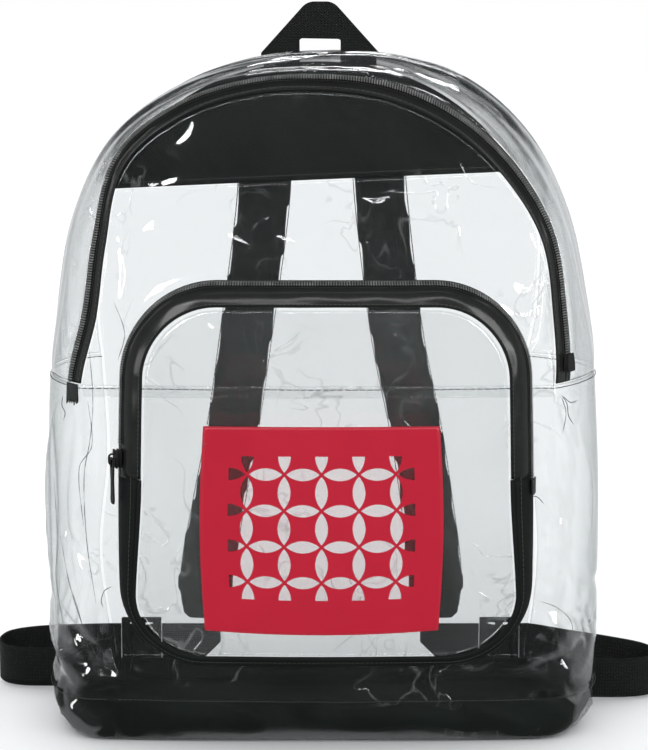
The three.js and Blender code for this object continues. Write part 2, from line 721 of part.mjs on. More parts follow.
// Half of the pocket's outline, from the left split point over the top or under the bottom to
// the right one, drawn in by an inset that may change with height
function pocketPath(half, insetAt) {
  const middle = POCKET_ZIP_END_HEIGHT;
  const upper = half === 'upper';
  const radius = upper ? POCKET_TOP_RADIUS : POCKET_BOTTOM_RADIUS;
  const endZ = upper ? POCKET_BOTTOM + POCKET_HEIGHT : POCKET_BOTTOM;
  const sign = upper ? 1 : -1;
  const cornerZ = endZ - sign * radius;
  const cornerX = POCKET_HALF_WIDTH - radius;
  const sideSteps = 4;
  const cornerSteps = 6;
  const acrossSteps = 5;
  const right = [];
  for (let step = 0; step < sideSteps; step += 1) {
    right.push({ x: POCKET_HALF_WIDTH, z: THREE.MathUtils.lerp(middle, cornerZ, share(step, sideSteps)), nx: 1, nz: 0 });
  }
  for (let step = 0; step <= cornerSteps; step += 1) {
    const angle = (Math.PI / 2) * share(step, cornerSteps);
    const nx = Math.cos(angle);
    const nz = sign * Math.sin(angle);
    right.push({ x: cornerX + radius * nx, z: cornerZ + radius * nz, nx, nz });
  }
  const left = right.map(({ x, z, nx, nz }) => ({ x: -x, z, nx: -nx, nz }));
  const across = list(acrossSteps - 1, (step) => ({
    x: THREE.MathUtils.lerp(-cornerX, cornerX, share(step + 1, acrossSteps)),
    z: endZ,
    nx: 0,
    nz: sign,
  }));
  return [...left, ...across, ...right.reverse()].map(({ x, z, nx, nz }) => {
    const inset = insetAt(z);
    return { x: POCKET_CENTRE_X + (x - nx * inset) * pocketSag(z), z: z - nz * inset };
  });
}

const pocketBandWidth = (z) => {
  const up = THREE.MathUtils.smoothstep(z, POCKET_BOTTOM + POCKET_BOTTOM_RADIUS * 0.3, POCKET_ZIP_END_HEIGHT);
  return THREE.MathUtils.lerp(POCKET_BAND_BOTTOM, POCKET_BAND_TOP, up);
};

// Points of the pocket's edge band at a share of the way from the bag to the pocket face
function pocketBandLine(half, across) {
  const inset = tableAt(POCKET_BAND_ROWS, 'across', 'inset', across);
  const proud = tableAt(POCKET_BAND_ROWS, 'across', 'proud', across);
  const stand = THREE.MathUtils.lerp(POCKET_STANDOFF, POCKET_PROUD, proud);
  return pocketPath(half, (z) => pocketBandWidth(z) * inset).map(({ x, z }) => vec(x, frontY(x, z) - stand, z));
}

// Keeps the upper and lower halves of the pocket band a seam gap apart
function trimHalf(line, half) {
  const sign = half === 'upper' ? 1 : -1;
  line[0].z += (sign * SEAM_GAP) / 2;
  line.at(-1).z += (sign * SEAM_GAP) / 2;
  return line;
}

function pocketBand(half, from, to, wall) {
  const steps = Math.max(1, Math.round((to - from) / 0.3));
  const grid = list(steps + 1, (step) =>
    trimHalf(pocketBandLine(half, THREE.MathUtils.lerp(from, to, share(step, steps))), half),
  );
  return sheet(grid, wall);
}

// Frame on the pocket zip at a place along its path
function pocketZipFrame(index) {
  const reach = 0.12;
  const low = pocketBandLine('upper', POCKET_COIL_PLACE - reach)[index];
  const high = pocketBandLine('upper', POCKET_COIL_PLACE + reach)[index];
  const line = pocketBandLine('upper', POCKET_COIL_PLACE);
  const along = line[Math.min(index + 1, line.length - 1)].clone().sub(line[Math.max(index - 1, 0)]).normalize();
  const side = high.clone().sub(low).normalize();
  const out = along.clone().cross(side).normalize();
  const centre = vec(POCKET_CENTRE_X, 0, POCKET_BOTTOM + POCKET_HEIGHT / 2);
  if (out.dot(line[index].clone().sub(centre)) < 0) out.negate();
  const at = line[index].clone().addScaledVector(out, ZIP_TAPE_WALL / 2 + LAY_GAP);
  return { at, side, out };
}

const POCKET_SLIDER_HEIGHT = POCKET_ZIP_END_HEIGHT + SLIDER_LENGTH / 2 + 5;

// The slider's frame: upright on the left side of the pocket
const pocketSliderFrame = (() => {
  const { at, out } = pocketZipFrame(1);
  const level = out.clone().setZ(0).normalize();
  const up = vec(0, 0, 1);
  const seat = at.clone().addScaledVector(level, LAY_GAP / 2).setZ(POCKET_SLIDER_HEIGHT);
  return { at: seat, side: up.clone().cross(level), out: level };
})();

function pocketZipCoil() {
  const count = pocketBandLine('upper', 0).length;
  const frames = list(count, (index) => pocketZipFrame(index));
  const first = frames[0];
  first.at.setZ(POCKET_SLIDER_HEIGHT + SLIDER_LENGTH / 2 + 1);
  frames.at(-1).at.z += SEAM_GAP / 2;
  const above = frames.filter((frame, index) => index === 0 || frame.at.z > first.at.z + 1 || index > count / 2);
  return coilRidge(above);
}

// The pull, hanging straight down from the bail: a flat tab with a window round the bail
function pocketPull() {
  const reach = Math.hypot(BAIL_WINDOW_LENGTH / 2 + BAIL_WALL, BAIL_WINDOW_HEIGHT / 2 + BAIL_WALL) + PULL_CLEARANCE;
  const outline = new THREE.Shape();
  const bar = 1;
  const half = PULL_WIDTH / 2;
  const narrow = half * 0.75;
  outline.moveTo(-half, bar);
  outline.lineTo(-half, -reach - bar);
  outline.lineTo(-narrow, -PULL_LENGTH * 0.5);
  outline.lineTo(-half, -PULL_LENGTH + 2);
  outline.lineTo(-half * 0.6, -PULL_LENGTH);
  outline.lineTo(half * 0.6, -PULL_LENGTH);
  outline.lineTo(half, -PULL_LENGTH + 2);
  outline.lineTo(narrow, -PULL_LENGTH * 0.5);
  outline.lineTo(half, -reach - bar);
  outline.lineTo(half, bar);
  const gap = BAIL_WIDTH / 2 + PULL_CLEARANCE;
  const window = new THREE.Path();
  window.moveTo(-gap, -bar * 0.4);
  window.lineTo(gap, -bar * 0.4);
  window.lineTo(gap, -reach);
  window.lineTo(-gap, -reach);
  outline.holes.push(window);
  const plate = new THREE.ExtrudeGeometry(outline, { depth: PULL_WALL, bevelEnabled: false });
  plate.translate(0, 0, -PULL_WALL / 2);
  return mergeVertices(plate.deleteAttribute('normal').deleteAttribute('uv'), 1e-4);
}

const PULL_AXIS_OUT = SLIDER_HEIGHT + BAIL_WINDOW_HEIGHT / 2;

// The pocket's face: rings from the edge band to the middle
function pocketFace() {
  const edge = [
    ...pocketBandLine('upper', 1),
    ...pocketBandLine('lower', 1).reverse().slice(1, -1),
  ];
  const centre = vec(POCKET_CENTRE_X, 0, POCKET_BOTTOM + POCKET_HEIGHT / 2);
  const sizes = [1, 0.86, 0.6, 0.3, 0];
  const grid = sizes.map((size) =>
    edge.map((point) => {
      const x = THREE.MathUtils.lerp(centre.x, point.x, size);
      const z = THREE.MathUtils.lerp(centre.z, point.z, size);
      const inward = size === 1 ? CREASE_GAP / POCKET_HALF_WIDTH : 0;
      const px = THREE.MathUtils.lerp(x, centre.x, inward);
      const pz = THREE.MathUtils.lerp(z, centre.z, inward);
      return vec(px, pocketFaceY(px, pz), pz);
    }),
  );
  return sheet(grid, VINYL_WALL, true);
}

function pocketFaceY(x, z) {
  const across = (x - POCKET_CENTRE_X) / POCKET_HALF_WIDTH;
  const up = (z - POCKET_BOTTOM) / POCKET_HEIGHT - 0.5;
  const dome = POCKET_DOME * Math.max(0, 1 - across ** 2) * Math.max(0, 1 - 4 * up ** 2);
  return frontY(x, z) - POCKET_PROUD - dome;
}

// The print: a thin skin lying on the pocket face, its sides bowed in a little
function pocketPrint() {
  const columns = 8;
  const rows = 6;
  const lift = VINYL_WALL / 2 + 1.3 * LAY_GAP + PRINT_WALL / 2;
  const grid = list(rows + 1, (row) =>
    list(columns + 1, (column) => {
      const across = share(column, columns) * 2 - 1;
      const up = share(row, rows);
      const bow = PRINT_BOW * Math.sin(Math.PI * up);
      const drop = PRINT_BOW * (1 - across ** 2) * (1 - up);
      const x = PRINT_CENTRE_X + across * (PRINT_WIDTH / 2 + bow);
      const z = PRINT_BOTTOM + up * PRINT_HEIGHT - drop;
      return vec(x, pocketFaceY(x, z) - lift, z);
    }),
  );
  return sheet(grid, PRINT_WALL);
}

function pocketPiping() {
  const sides = 6;
  const line = trimHalf(pocketBandLine('lower', 1), 'lower').map((point) => {
    const away = vec(point.x - POCKET_CENTRE_X, 0, point.z - POCKET_BOTTOM - POCKET_HEIGHT / 2).normalize();
    return point.addScaledVector(away, PIPING_RADIUS);
  });
  const centre = vec(POCKET_CENTRE_X, 0, POCKET_BOTTOM + POCKET_HEIGHT / 2);
  const rings = line.map((point) => {
    const away = vec(point.x - centre.x, 0, point.z - centre.z).normalize();
    return list(sides, (side) => {
      const angle = 2 * Math.PI * share(side, sides);
      return point
        .clone()
        .addScaledVector(away, PIPING_RADIUS * Math.cos(angle))
        .add(vec(0, PIPING_RADIUS * Math.sin(angle), 0));
    });
  });
  return loft(rings);
}

// A short raw end of zip tape that hangs below the end of a zip, lying on the sheet behind
function zipTail(lineAt, wall) {
  const rows = 2;
  return sheet(list(rows + 1, (row) => lineAt(share(row, rows))), wall);
}

function mainZipTail() {
  const lay = VINYL_WALL / 2 + LAY_GAP + ZIP_TAPE_WALL / 2;
  return zipTail((down) => {
    const ribAt = sideRib(-1, SEAM_HEIGHT - ZIP_TAIL_DROP - down * ZIP_TAIL_LENGTH);
    const points = ZIP_TAIL_LINES.map((length) => fromFront(ribAt, length));
    const across = points[0].clone().sub(points[2]).normalize();
    const out = across.cross(vec(0, 0, 1)).normalize();
    if (out.y > 0) out.negate();
    return points.map((point) => point.addScaledVector(out, lay));
  }, ZIP_TAPE_WALL);
}

function pocketZipTail() {
  const lay = ZIP_TAPE_WALL / 2 + FABRIC_WALL / 2 + 2.5 * LAY_GAP;
  const lineAt = (across) => pocketBandLine('lower', across).at(-1);
  return zipTail(
    (down) =>
      POCKET_TAIL_LINES.map((across) => {
        const point = lineAt(across);
        return vec(point.x + lay, point.y - lay * 0.3, point.z - ZIP_TAIL_DROP - down * ZIP_TAIL_LENGTH);
      }),
    ZIP_TAPE_WALL,
  );
}

// Flat piece standing behind the back: an outline in X and Z with a thickness on Y, for the side
// that it is drawn on (1) or the other one (-1)
function uprightPlate(shape, wall, y, side = 1) {
  const plate = new THREE.ExtrudeGeometry(shape, { depth: wall, bevelEnabled: false });
  plate.applyMatrix4(new THREE.Matrix4().makeBasis(vec(1, 0, 0), vec(0, 0, 1), vec(0, -1, 0)));
  plate.translate(0, y + wall, 0);
  plate.scale(side, 1, 1);
  plate.deleteAttribute('normal');
  plate.deleteAttribute('uv');
  const merged = mergeVertices(plate, 1e-4);
  if (side < 0) merged.setIndex(Array.from(merged.index.array).reverse());
  return merged;
}

// The haul handle: webbing folded at 45 degrees at both top corners, sewn down on the yoke
function haulHandle() {
  const base = SEAM_HEIGHT + ARCH_RISE;
  const half = HANDLE_SPREAD / 2;
  const top = base + HANDLE_RISE;
  const slotTop = base + HANDLE_GAP_HEIGHT;
  const slotHalf = half - WEBBING_WIDTH;
  const foot = base - HANDLE_SEWN_LENGTH;
  const soft = 3.5;
  const shape = new THREE.Shape();
  shape.moveTo(-half + 1, foot);
  shape.lineTo(-half, base);
  shape.lineTo(-HANDLE_TOP_WIDTH / 2, top - soft);
  shape.lineTo(-HANDLE_TOP_WIDTH / 2 + soft, top);
  shape.lineTo(HANDLE_TOP_WIDTH / 2 - soft, top);
  shape.lineTo(HANDLE_TOP_WIDTH / 2, top - soft);
  shape.lineTo(half, base);
  shape.lineTo(half - soft, base - soft);
  shape.lineTo(half - soft, foot);
  shape.lineTo(slotHalf - 1, foot);
  shape.lineTo(slotHalf, slotTop);
  shape.lineTo(-slotHalf, slotTop);
  shape.lineTo(-slotHalf, foot);
  const crown = (BACK_CROWN * HANDLE_SEWN_LENGTH) / (base - YOKE_HEIGHT);
  return uprightPlate(shape, HANDLE_WALL, BACK_DEPTH + FABRIC_WALL / 2 + crown + LAY_GAP);
}

// A padded shoulder strap hanging behind the back
function shoulderStrap(side) {
  const stations = 14;
  const suffix = side < 0 ? 'Left' : 'Right';
  const height = SEAM_HEIGHT + ARCH_RISE;
  const clear = BACK_DEPTH + BACK_CROWN + FABRIC_WALL + LAY_GAP + STRAP_WALL / 2;
  const column = (name, place) => tableAt([...STRAP_ROWS].reverse(), 'up', name, place);
  const top = STRAP_ROWS[0].up;
  const bottom = STRAP_ROWS.at(-1).up;
  const centre = (up) =>
    vec(side * HALF_WIDTH * column('out' + suffix, up), clear + STRAP_WALL * column('behind', up), height * up);
  const profile = [
    { across: -0.5, deep: 0.18 },
    { across: -0.5, deep: -0.18 },
    { across: -0.4, deep: -0.46 },
    { across: 0, deep: -0.5 },
    { across: 0.4, deep: -0.46 },
    { across: 0.5, deep: -0.18 },
    { across: 0.5, deep: 0.18 },
    { across: 0.4, deep: 0.46 },
    { across: 0, deep: 0.5 },
    { across: -0.4, deep: 0.46 },
  ];
  const rings = list(stations + 1, (station) => {
    const up = THREE.MathUtils.lerp(top, bottom, share(station, stations));
    const at = centre(up);
    const along = centre(up - 0.01).sub(centre(up + 0.01)).normalize();
    const across = vec(0, 1, 0).cross(along).normalize();
    const deep = along.clone().cross(across).normalize();
    const ends = station === 0 || station === stations ? 0.6 : 1;
    return profile.map((corner) =>
      at
        .clone()
        .addScaledVector(across, corner.across * STRAP_WIDTH * column('wide', up))
        .addScaledVector(deep, corner.deep * STRAP_WALL * ends),
    );
  });
  return loft(rings);
}

// Where the strap ends, the tab turns and the buckle starts
const strapEndX = HALF_WIDTH * STRAP_ROWS.at(-1).outLeft;
const strapEndZ = (SEAM_HEIGHT + ARCH_RISE) * STRAP_ROWS.at(-1).up;
const lowerWebY = BACK_DEPTH + BACK_CROWN + FABRIC_WALL + LAY_GAP + STRAP_WALL * (0.5 + STRAP_ROWS.at(-1).behind);
const lowerWebZ = LOOP_FLOOR_CLEARANCE + WEBBING_WIDTH * (0.5 + LOOP_ROWS[0].lift);
const lockStartX = strapEndX + TAB_REACH;

// The tab: webbing that comes down from the strap and folds outwards to the buckle
function strapTab(side) {
  const half = WEBBING_WIDTH / 2;
  const low = lowerWebZ - half;
  const high = lowerWebZ + half;
  const head = strapEndZ - 3 * LAY_GAP;
  const shape = new THREE.Shape();
  const points = [
    [strapEndX - half, head],
    [strapEndX - half, low + half],
    [strapEndX, low],
    [lockStartX, low],
    [lockStartX, Math.min(high, head - 0.01)],
    [strapEndX + half, Math.min(high, head - 0.01)],
    [strapEndX + half, head],
  ];
  points.forEach(([x, z], index) => (index === 0 ? shape.moveTo(x, z) : shape.lineTo(x, z)));
  return uprightPlate(shape, WEBBING_WALL, lowerWebY - WEBBING_WALL / 2, side);
}

// The plain buckle between tab and webbing: a frame with two slots
function ladderLock(side) {
  const start = lockStartX + LAY_GAP;
  const half = LOCK_HEIGHT / 2;
  const low = Math.max(lowerWebZ - half, 0.6);
  const rectangle = (target, x0, x1, z0, z1) => {
    target.moveTo(x0, z0);
    target.lineTo(x1, z0);
    target.lineTo(x1, z1);
    target.lineTo(x0, z1);
    return target;
  };
  const high = low + LOCK_HEIGHT;
  const shape = rectangle(new THREE.Shape(), start, start + LOCK_LENGTH, low, high);
  const bar = (LOCK_LENGTH - 2 * LOCK_SLOT) / 3;
  for (const slot of [0, 1]) {
    const from = start + bar + slot * (bar + LOCK_SLOT);
    const rim = (LOCK_HEIGHT - WEBBING_WIDTH) / 2 - LOCK_SLOT_PLAY * (1 + slot);
    shape.holes.push(rectangle(new THREE.Path(), from, from + LOCK_SLOT, low + rim, high - rim));
  }
  return uprightPlate(shape, LOCK_WALL, lowerWebY - LOCK_WALL / 2, side);
}

// The adjusting webbing: out from the buckle, round the open loop and back to the side seam
function strapWebbing(side) {
  const start = lockStartX + LAY_GAP + LOCK_LENGTH + LAY_GAP;
  const beyond = side < 0 ? LOOP_REACH_LEFT : LOOP_REACH_RIGHT;
  const reach = HALF_WIDTH + beyond - start - WEBBING_WALL / 2;
  const half = WEBBING_WIDTH / 2;
  const points = LOOP_ROWS.map((row) =>
    vec(
      side * (start + row.out * reach),
      lowerWebY - (side < 0 ? row.forwardLeft : row.forwardRight) * LOOP_FORWARD,
      LOOP_FLOOR_CLEARANCE + half + row.lift * WEBBING_WIDTH,
    ),
  );
  const wallRib = sideRib(side, WEBBING_WIDTH);
  const sewn = list(41, (step) => wallRib.curve.getPointAt(share(step, 40))).reduce((best, point) =>
    Math.abs(point.y - points.at(-1).y) < Math.abs(best.y - points.at(-1).y) ? point : best,
  );
  const end = vec(sewn.x + side * (FABRIC_WALL / 2 + 2.5 * LAY_GAP), points.at(-1).y, points.at(-1).z);
  const curve = new THREE.CatmullRomCurve3([...points, end], false, 'centripetal');
  const stations = 24;
  const rings = list(stations + 1, (station) => {
    const at = curve.getPointAt(share(station, stations));
    const along = curve.getTangentAt(share(station, stations)).setZ(0).normalize();
    const away = vec(-along.y, along.x, 0).multiplyScalar(WEBBING_WALL / 2);
    const rise = vec(0, 0, half);
    return [
      at.clone().add(away).add(rise),
      at.clone().sub(away).add(rise),
      at.clone().sub(away).sub(rise),
      at.clone().add(away).sub(rise),
    ];
  });
  return loft(rings);
}

// Finishes
const finish = (color, roughness, opacity = 1) =>
  new THREE.MeshStandardMaterial({ color, roughness, metalness: 0, opacity, transparent: opacity < 1 });
const clearVinyl = () => finish(0xe9eeec, 0.12, 0.3);
const blackFabric = () => finish(0x17191a, 0.75);
const blackTape = () => finish(0x131614, 0.6);
const blackPlastic = () => finish(0x0c0d0d, 0.35);
const redInk = () => finish(0xc02e3c, 0.4);

function piece(name, geometry, material) {
  const mesh = new THREE.Mesh(geometry, material);
  mesh.name = name;
  return mesh;
}

const coilFrom = ZIP_BAND * COIL_PLACE - SEAM_GAP / 2;
const coilTo = ZIP_BAND * COIL_PLACE + SEAM_GAP / 2;

const bag = new THREE.Group();
bag.add(
  piece('front_upper_panel', frontUpperPanel(), clearVinyl()),
  piece('lower_panel', lowerPanel(), clearVinyl()),
  piece('top_gusset', topGusset(), clearVinyl()),
  piece('back_panel', backPanel(), clearVinyl()),
  piece('back_yoke', backYoke(), blackFabric()),
  piece('base_tray', baseTray(), blackFabric()),
  piece('main_zip_tape_front', zipBand(CREASE_GAP / 3, coilFrom, ZIP_TAPE_WALL), blackTape()),
  piece('main_zip_tape_gusset', zipBand(coilTo, ZIP_BAND, ZIP_TAPE_WALL), blackTape()),
  piece('main_zip_coil', mainZipCoil(), blackPlastic()),
  piece('main_zip_slider', standOn(sliderBody(false), mainZipFrame(MAIN_SLIDER_TURN)), blackPlastic()),
  piece('main_zip_tail', mainZipTail(), blackTape()),
);

const tapeSplit = SEAM_GAP / 2 / POCKET_PROUD;
const pocket = new THREE.Group();
pocket.add(
  piece('pocket_face', pocketFace(), clearVinyl()),
  piece('pocket_print', pocketPrint(), redInk()),
  piece('pocket_zip_tape_bag', pocketBand('upper', 0, POCKET_COIL_PLACE - tapeSplit, ZIP_TAPE_WALL), blackTape()),
  piece(
    'pocket_zip_tape_face',
    pocketBand('upper', POCKET_COIL_PLACE + tapeSplit, POCKET_TAPE_END, ZIP_TAPE_WALL),
    blackTape(),
  ),
  piece('pocket_zip_coil', pocketZipCoil(), blackPlastic()),
  piece('pocket_gusset', pocketBand('lower', 0, POCKET_BAND_END, FABRIC_WALL), blackFabric()),
  piece('pocket_piping', pocketPiping(), blackTape()),
  piece('pocket_zip_tail', pocketZipTail(), blackTape()),
  piece('pocket_slider', standOn(sliderBody(true), pocketSliderFrame), blackPlastic()),
);
const pull = piece('pocket_pull', standOn(pocketPull(), pocketSliderFrame), blackPlastic());
pull.position.copy(pocketSliderFrame.out).multiplyScalar(PULL_AXIS_OUT);
pocket.add(pull);

const carry = new THREE.Group();
carry.add(piece('haul_handle', haulHandle(), blackTape()));
for (const [side, name] of [[-1, 'left'], [1, 'right']]) {
  carry.add(
    piece(`shoulder_strap_${name}`, shoulderStrap(side), blackFabric()),
    piece(`strap_tab_${name}`, strapTab(side), blackTape()),
    piece(`ladder_lock_${name}`, ladderLock(side), blackPlastic()),
    piece(`strap_webbing_${name}`, strapWebbing(side), blackTape()),
  );
}

// The whole object, with its origin in the middle of its footprint
const backpack = new THREE.Group();
backpack.add(bag, pocket, carry);
const bounds = new THREE.Box3().setFromObject(backpack);
const middle = bounds.getCenter(vec(0, 0, 0));
backpack.position.set(-middle.x, -middle.y, -bounds.min.z);

export default backpack;
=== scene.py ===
"""Looks of the clear zipped backpack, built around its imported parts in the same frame, in metres.

Sizes of the bag are written in millimetres, as a bag maker gives them, and turned into metres when
a mesh is made.
"""

import json
import logging
import math
from collections.abc import Callable, Sequence
from dataclasses import dataclass, field
from enum import Enum
from typing import Any

import bmesh
import bpy
import numpy as np
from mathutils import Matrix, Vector

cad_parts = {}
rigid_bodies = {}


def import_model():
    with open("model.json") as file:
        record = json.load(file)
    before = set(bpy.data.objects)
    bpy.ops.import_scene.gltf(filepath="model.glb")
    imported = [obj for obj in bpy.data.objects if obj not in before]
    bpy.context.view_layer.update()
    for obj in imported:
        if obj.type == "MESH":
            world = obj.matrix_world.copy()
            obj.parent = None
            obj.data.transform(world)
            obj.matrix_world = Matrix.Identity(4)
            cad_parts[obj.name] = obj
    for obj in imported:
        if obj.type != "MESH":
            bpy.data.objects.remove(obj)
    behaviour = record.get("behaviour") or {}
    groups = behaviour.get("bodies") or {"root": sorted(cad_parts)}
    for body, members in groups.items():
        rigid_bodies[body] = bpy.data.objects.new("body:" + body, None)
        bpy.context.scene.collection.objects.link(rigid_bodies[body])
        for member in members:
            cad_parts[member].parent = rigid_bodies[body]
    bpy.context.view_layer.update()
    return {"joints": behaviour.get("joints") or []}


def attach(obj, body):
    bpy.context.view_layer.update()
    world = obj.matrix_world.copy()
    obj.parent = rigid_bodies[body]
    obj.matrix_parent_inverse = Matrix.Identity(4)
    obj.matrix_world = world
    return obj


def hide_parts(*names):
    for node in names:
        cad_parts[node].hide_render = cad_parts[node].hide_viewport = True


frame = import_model()
LOG = logging.getLogger("backpack")
MM = 0.001
Array = np.ndarray
Point = tuple[float, float, float]


# Numbers


class Table:
    """Rows of a given table, read smoothly between its rows."""

    def __init__(self, key: str, columns: str, rows: Sequence[Sequence[float]]) -> None:
        """Keeps the rows.

        Args:
            key: Name of the column that the rows are ordered by.
            columns: Names of the other columns, with spaces between.
            rows: The rows, with the key first.
        """
        self.names = [key, *columns.split()]
        self.values = np.array(rows, float)

    def at(self, column: str, place: Array | float) -> Array:
        """Smooth value of a column.

        Args:
            column: Name of the column.
            place: Where to read it, in units of the key.

        Returns:
            The values, in the shape of place.
        """
        keys, data = self.values[:, 0], self.values[:, self.names.index(column)]
        place = np.clip(np.asarray(place, float), keys[0], keys[-1])
        low = np.clip(np.searchsorted(keys, place, side="left") - 1, 0, len(keys) - 2)
        high = low + 1
        before, after = np.maximum(low - 1, 0), np.minimum(high + 1, len(keys) - 1)
        span = keys[high] - keys[low]
        t = (place - keys[low]) / span
        slope_low = (data[high] - data[before]) / (keys[high] - keys[before]) * span
        slope_high = (data[after] - data[low]) / (keys[after] - keys[low]) * span
        t2, t3 = t * t, t * t * t
        return (
            (2 * t3 - 3 * t2 + 1) * data[low]
            + (t3 - 2 * t2 + t) * slope_low
            + (3 * t2 - 2 * t3) * data[high]
            + (t3 - t2) * slope_high
        )


class Noise:
    """Smooth gradient noise with a fixed seed."""

    def __init__(self, seed: int) -> None:
        """Draws the lattice's directions.

        Args:
            seed: Seed of the lattice.
        """
        draw = np.random.default_rng(seed)
        steps = draw.normal(size=(256, 3))
        self.steps = steps / np.linalg.norm(steps, axis=1, keepdims=True)
        self.order = np.tile(draw.permutation(256), 2)

    def at(self, places: Array) -> Array:
        """Noise from about -1 to 1.

        Args:
            places: Points, one lattice cell per unit.

        Returns:
            One value for each point.
        """
        cell = np.floor(places).astype(int)
        inside = places - cell
        smooth = inside**3 * (inside * (inside * 6 - 15) + 10)
        total = np.zeros(places.shape[:-1])
        for corner in np.ndindex(2, 2, 2):
            spot = (cell + corner) & 255
            pick = self.order[self.order[self.order[spot[..., 0]] + spot[..., 1]] + spot[..., 2]]
            pull = np.einsum("...i,...i", self.steps[pick], inside - corner)
            share = np.where(corner, smooth, 1 - smooth).prod(axis=-1)
            total += share * pull
        return total * 1.6

    def ridges(self, places: Array) -> Array:
        """Sharp ridges from 0 to 1 along the noise's zero lines."""
        return np.clip(1 - np.abs(self.at(places)) * 2.2, 0, 1) ** 2


def ease(low: float, high: float, value: Array) -> Array:
    """Smooth step from 0 at low to 1 at high."""
    t = np.clip((value - low) / (high - low), 0, 1)
    return t * t * (3 - 2 * t)


def unit(vectors: Array) -> Array:
    """Vectors of length one."""
    return vectors / np.maximum(np.linalg.norm(vectors, axis=-1, keepdims=True), 1e-12)


def slopes(values: Array, axis: int, looped: bool = False) -> Array:
    """Differences along an axis of a grid that may join up."""
    if looped:
        return np.roll(values, -1, axis) - np.roll(values, 1, axis)
    return np.gradient(values, axis=axis)


def grid_normals(grid: Array, looped: bool = False) -> Array:
    """Unit normals of a grid of points, from rows crossed with columns."""
    return unit(np.cross(slopes(grid, 0), slopes(grid, 1, looped)))


def along(points: Array) -> Array:
    """Length along a path at each of its points."""
    return np.concatenate([[0], np.cumsum(np.linalg.norm(np.diff(points, axis=0), axis=1))])


def resampled(points: Array, count: int) -> Array:
    """Points evenly spaced along a path."""
    reach = along(points)
    wanted = np.linspace(0, reach[-1], count)
    return np.stack([np.interp(wanted, reach, points[:, i]) for i in range(3)], axis=1)


def curve_through(points: Sequence[Point], count: int) -> Array:
    """Smooth path through chosen points, evenly spaced.

    Args:
        points: The chosen points.
        count: How many points the path has.

    Returns:
        The path's points.
    """
    rows = np.array(points, float)
    reach = along(rows)
    table = Table("reach", "x y z", np.column_stack([reach, rows]))
    fine = np.linspace(0, reach[-1], 12 * count)
    return resampled(np.stack([table.at(name, fine) for name in "xyz"], axis=1), count)


@dataclass(frozen=True)
class Fold:
    """A crease or soft fold in a sheet, along chosen points."""

    points: tuple[Point, ...]
    depth: float
    width: float
    sharp: float = 2.0

    def lift(self, grid: Array) -> Array:
        """How far the fold lifts each point of a sheet, in millimetres."""
        path = curve_through(self.points, 24)
        flat, ways = grid.reshape(-1, 3), grid_normals(grid).reshape(-1, 3)
        near = np.linalg.norm(path[:, None] - flat[None], axis=-1).argmin(axis=1)
        off = ((path - flat[near]) * ways[near]).sum(axis=-1, keepdims=True)
        path = path - off * ways[near]
        best = np.full(grid.shape[:-1], 1e9)
        place = np.zeros(grid.shape[:-1])
        for index, (start, end) in enumerate(zip(path[:-1], path[1:])):
            step = end - start
            t = np.clip(((grid - start) @ step) / (step @ step), 0, 1)
            away = np.linalg.norm(grid - (start + t[..., None] * step), axis=-1)
            nearer = away < best
            best = np.where(nearer, away, best)
            place = np.where(nearer, (index + t) / (len(path) - 1), place)
        taper = np.sin(np.pi * np.clip(place, 0, 1)) ** 0.6
        return self.depth * taper * np.exp(-((best / self.width) ** self.sharp))


@dataclass(frozen=True)
class Rumple:
    """How a sheet is creased all over: soft swells, small dents and sharp ridges."""

    seed: int
    swell: float = 1.0
    swell_size: float = 70.0
    dent: float = 0.35
    dent_size: float = 24.0
    ridge: float = 0.0
    ridge_size: float = 30.0
    stretch: tuple[float, float] = (1.0, 1.0)
    edge: float = 10.0
    folds: tuple[Fold, ...] = ()

    def on(self, grid: Array) -> Array:
        """Sheet with its creases.

        Args:
            grid: Points of the sheet, rows by columns, in millimetres.

        Returns:
            The moved points.
        """
        row = np.linalg.norm(np.diff(grid, axis=0, prepend=grid[:1]), axis=-1).cumsum(0)
        column = np.linalg.norm(np.diff(grid, axis=1, prepend=grid[:, :1]), axis=-1).cumsum(1)
        places = np.stack([row * self.stretch[0], column * self.stretch[1], 0 * row + self.seed], axis=-1)
        noise = Noise(self.seed)
        lift = self.swell * noise.at(places / self.swell_size + 3.3)
        lift = lift + self.dent * noise.at(places / self.dent_size + 11.7)
        if self.ridge:
            patch = ease(-0.1, 0.5, noise.at(places / (self.ridge_size * 2.5) + 40.2))
            lift = lift + self.ridge * patch * noise.ridges(places / self.ridge_size + 71.9)
        keep = np.minimum(row, row[-1:] - row)
        keep = np.minimum(keep, np.minimum(column, column[:, -1:] - column))
        lift = lift * ease(0, self.edge, keep)
        for fold in self.folds:
            lift = lift + fold.lift(grid) * ease(0, self.edge * 0.6, keep)
        return grid + lift[..., None] * grid_normals(grid)


# Meshes


def make_object(
    name: str,
    points: Array,
    faces: Sequence[Sequence[int]] | Array,
    uv: Array | None = None,
    smooth: bool = True,
) -> bpy.types.Object:
    """Object from points in millimetres.

    Args:
        name: Name of the piece.
        points: Points, in millimetres.
        faces: Corners of each face.
        uv: Place of each point on the flat sheet, in millimetres, or None.
        smooth: Whether the faces are shaded smooth.

    Returns:
        The object, in the scene.
    """
    mesh = bpy.data.meshes.new(name)
    mesh.from_pydata((np.asarray(points) * MM).tolist(), [], [list(map(int, f)) for f in faces])
    if uv is not None:
        layer = mesh.uv_layers.new(name="flat")
        corners = np.empty(len(mesh.loops), int)
        mesh.loops.foreach_get("vertex_index", corners)
        layer.data.foreach_set("uv", (uv[corners] * MM).astype(np.float32).ravel())
    mesh.shade_smooth() if smooth else mesh.shade_flat()
    mesh.validate()
    obj = bpy.data.objects.new(name, mesh)
    bpy.context.scene.collection.objects.link(obj)
    return obj


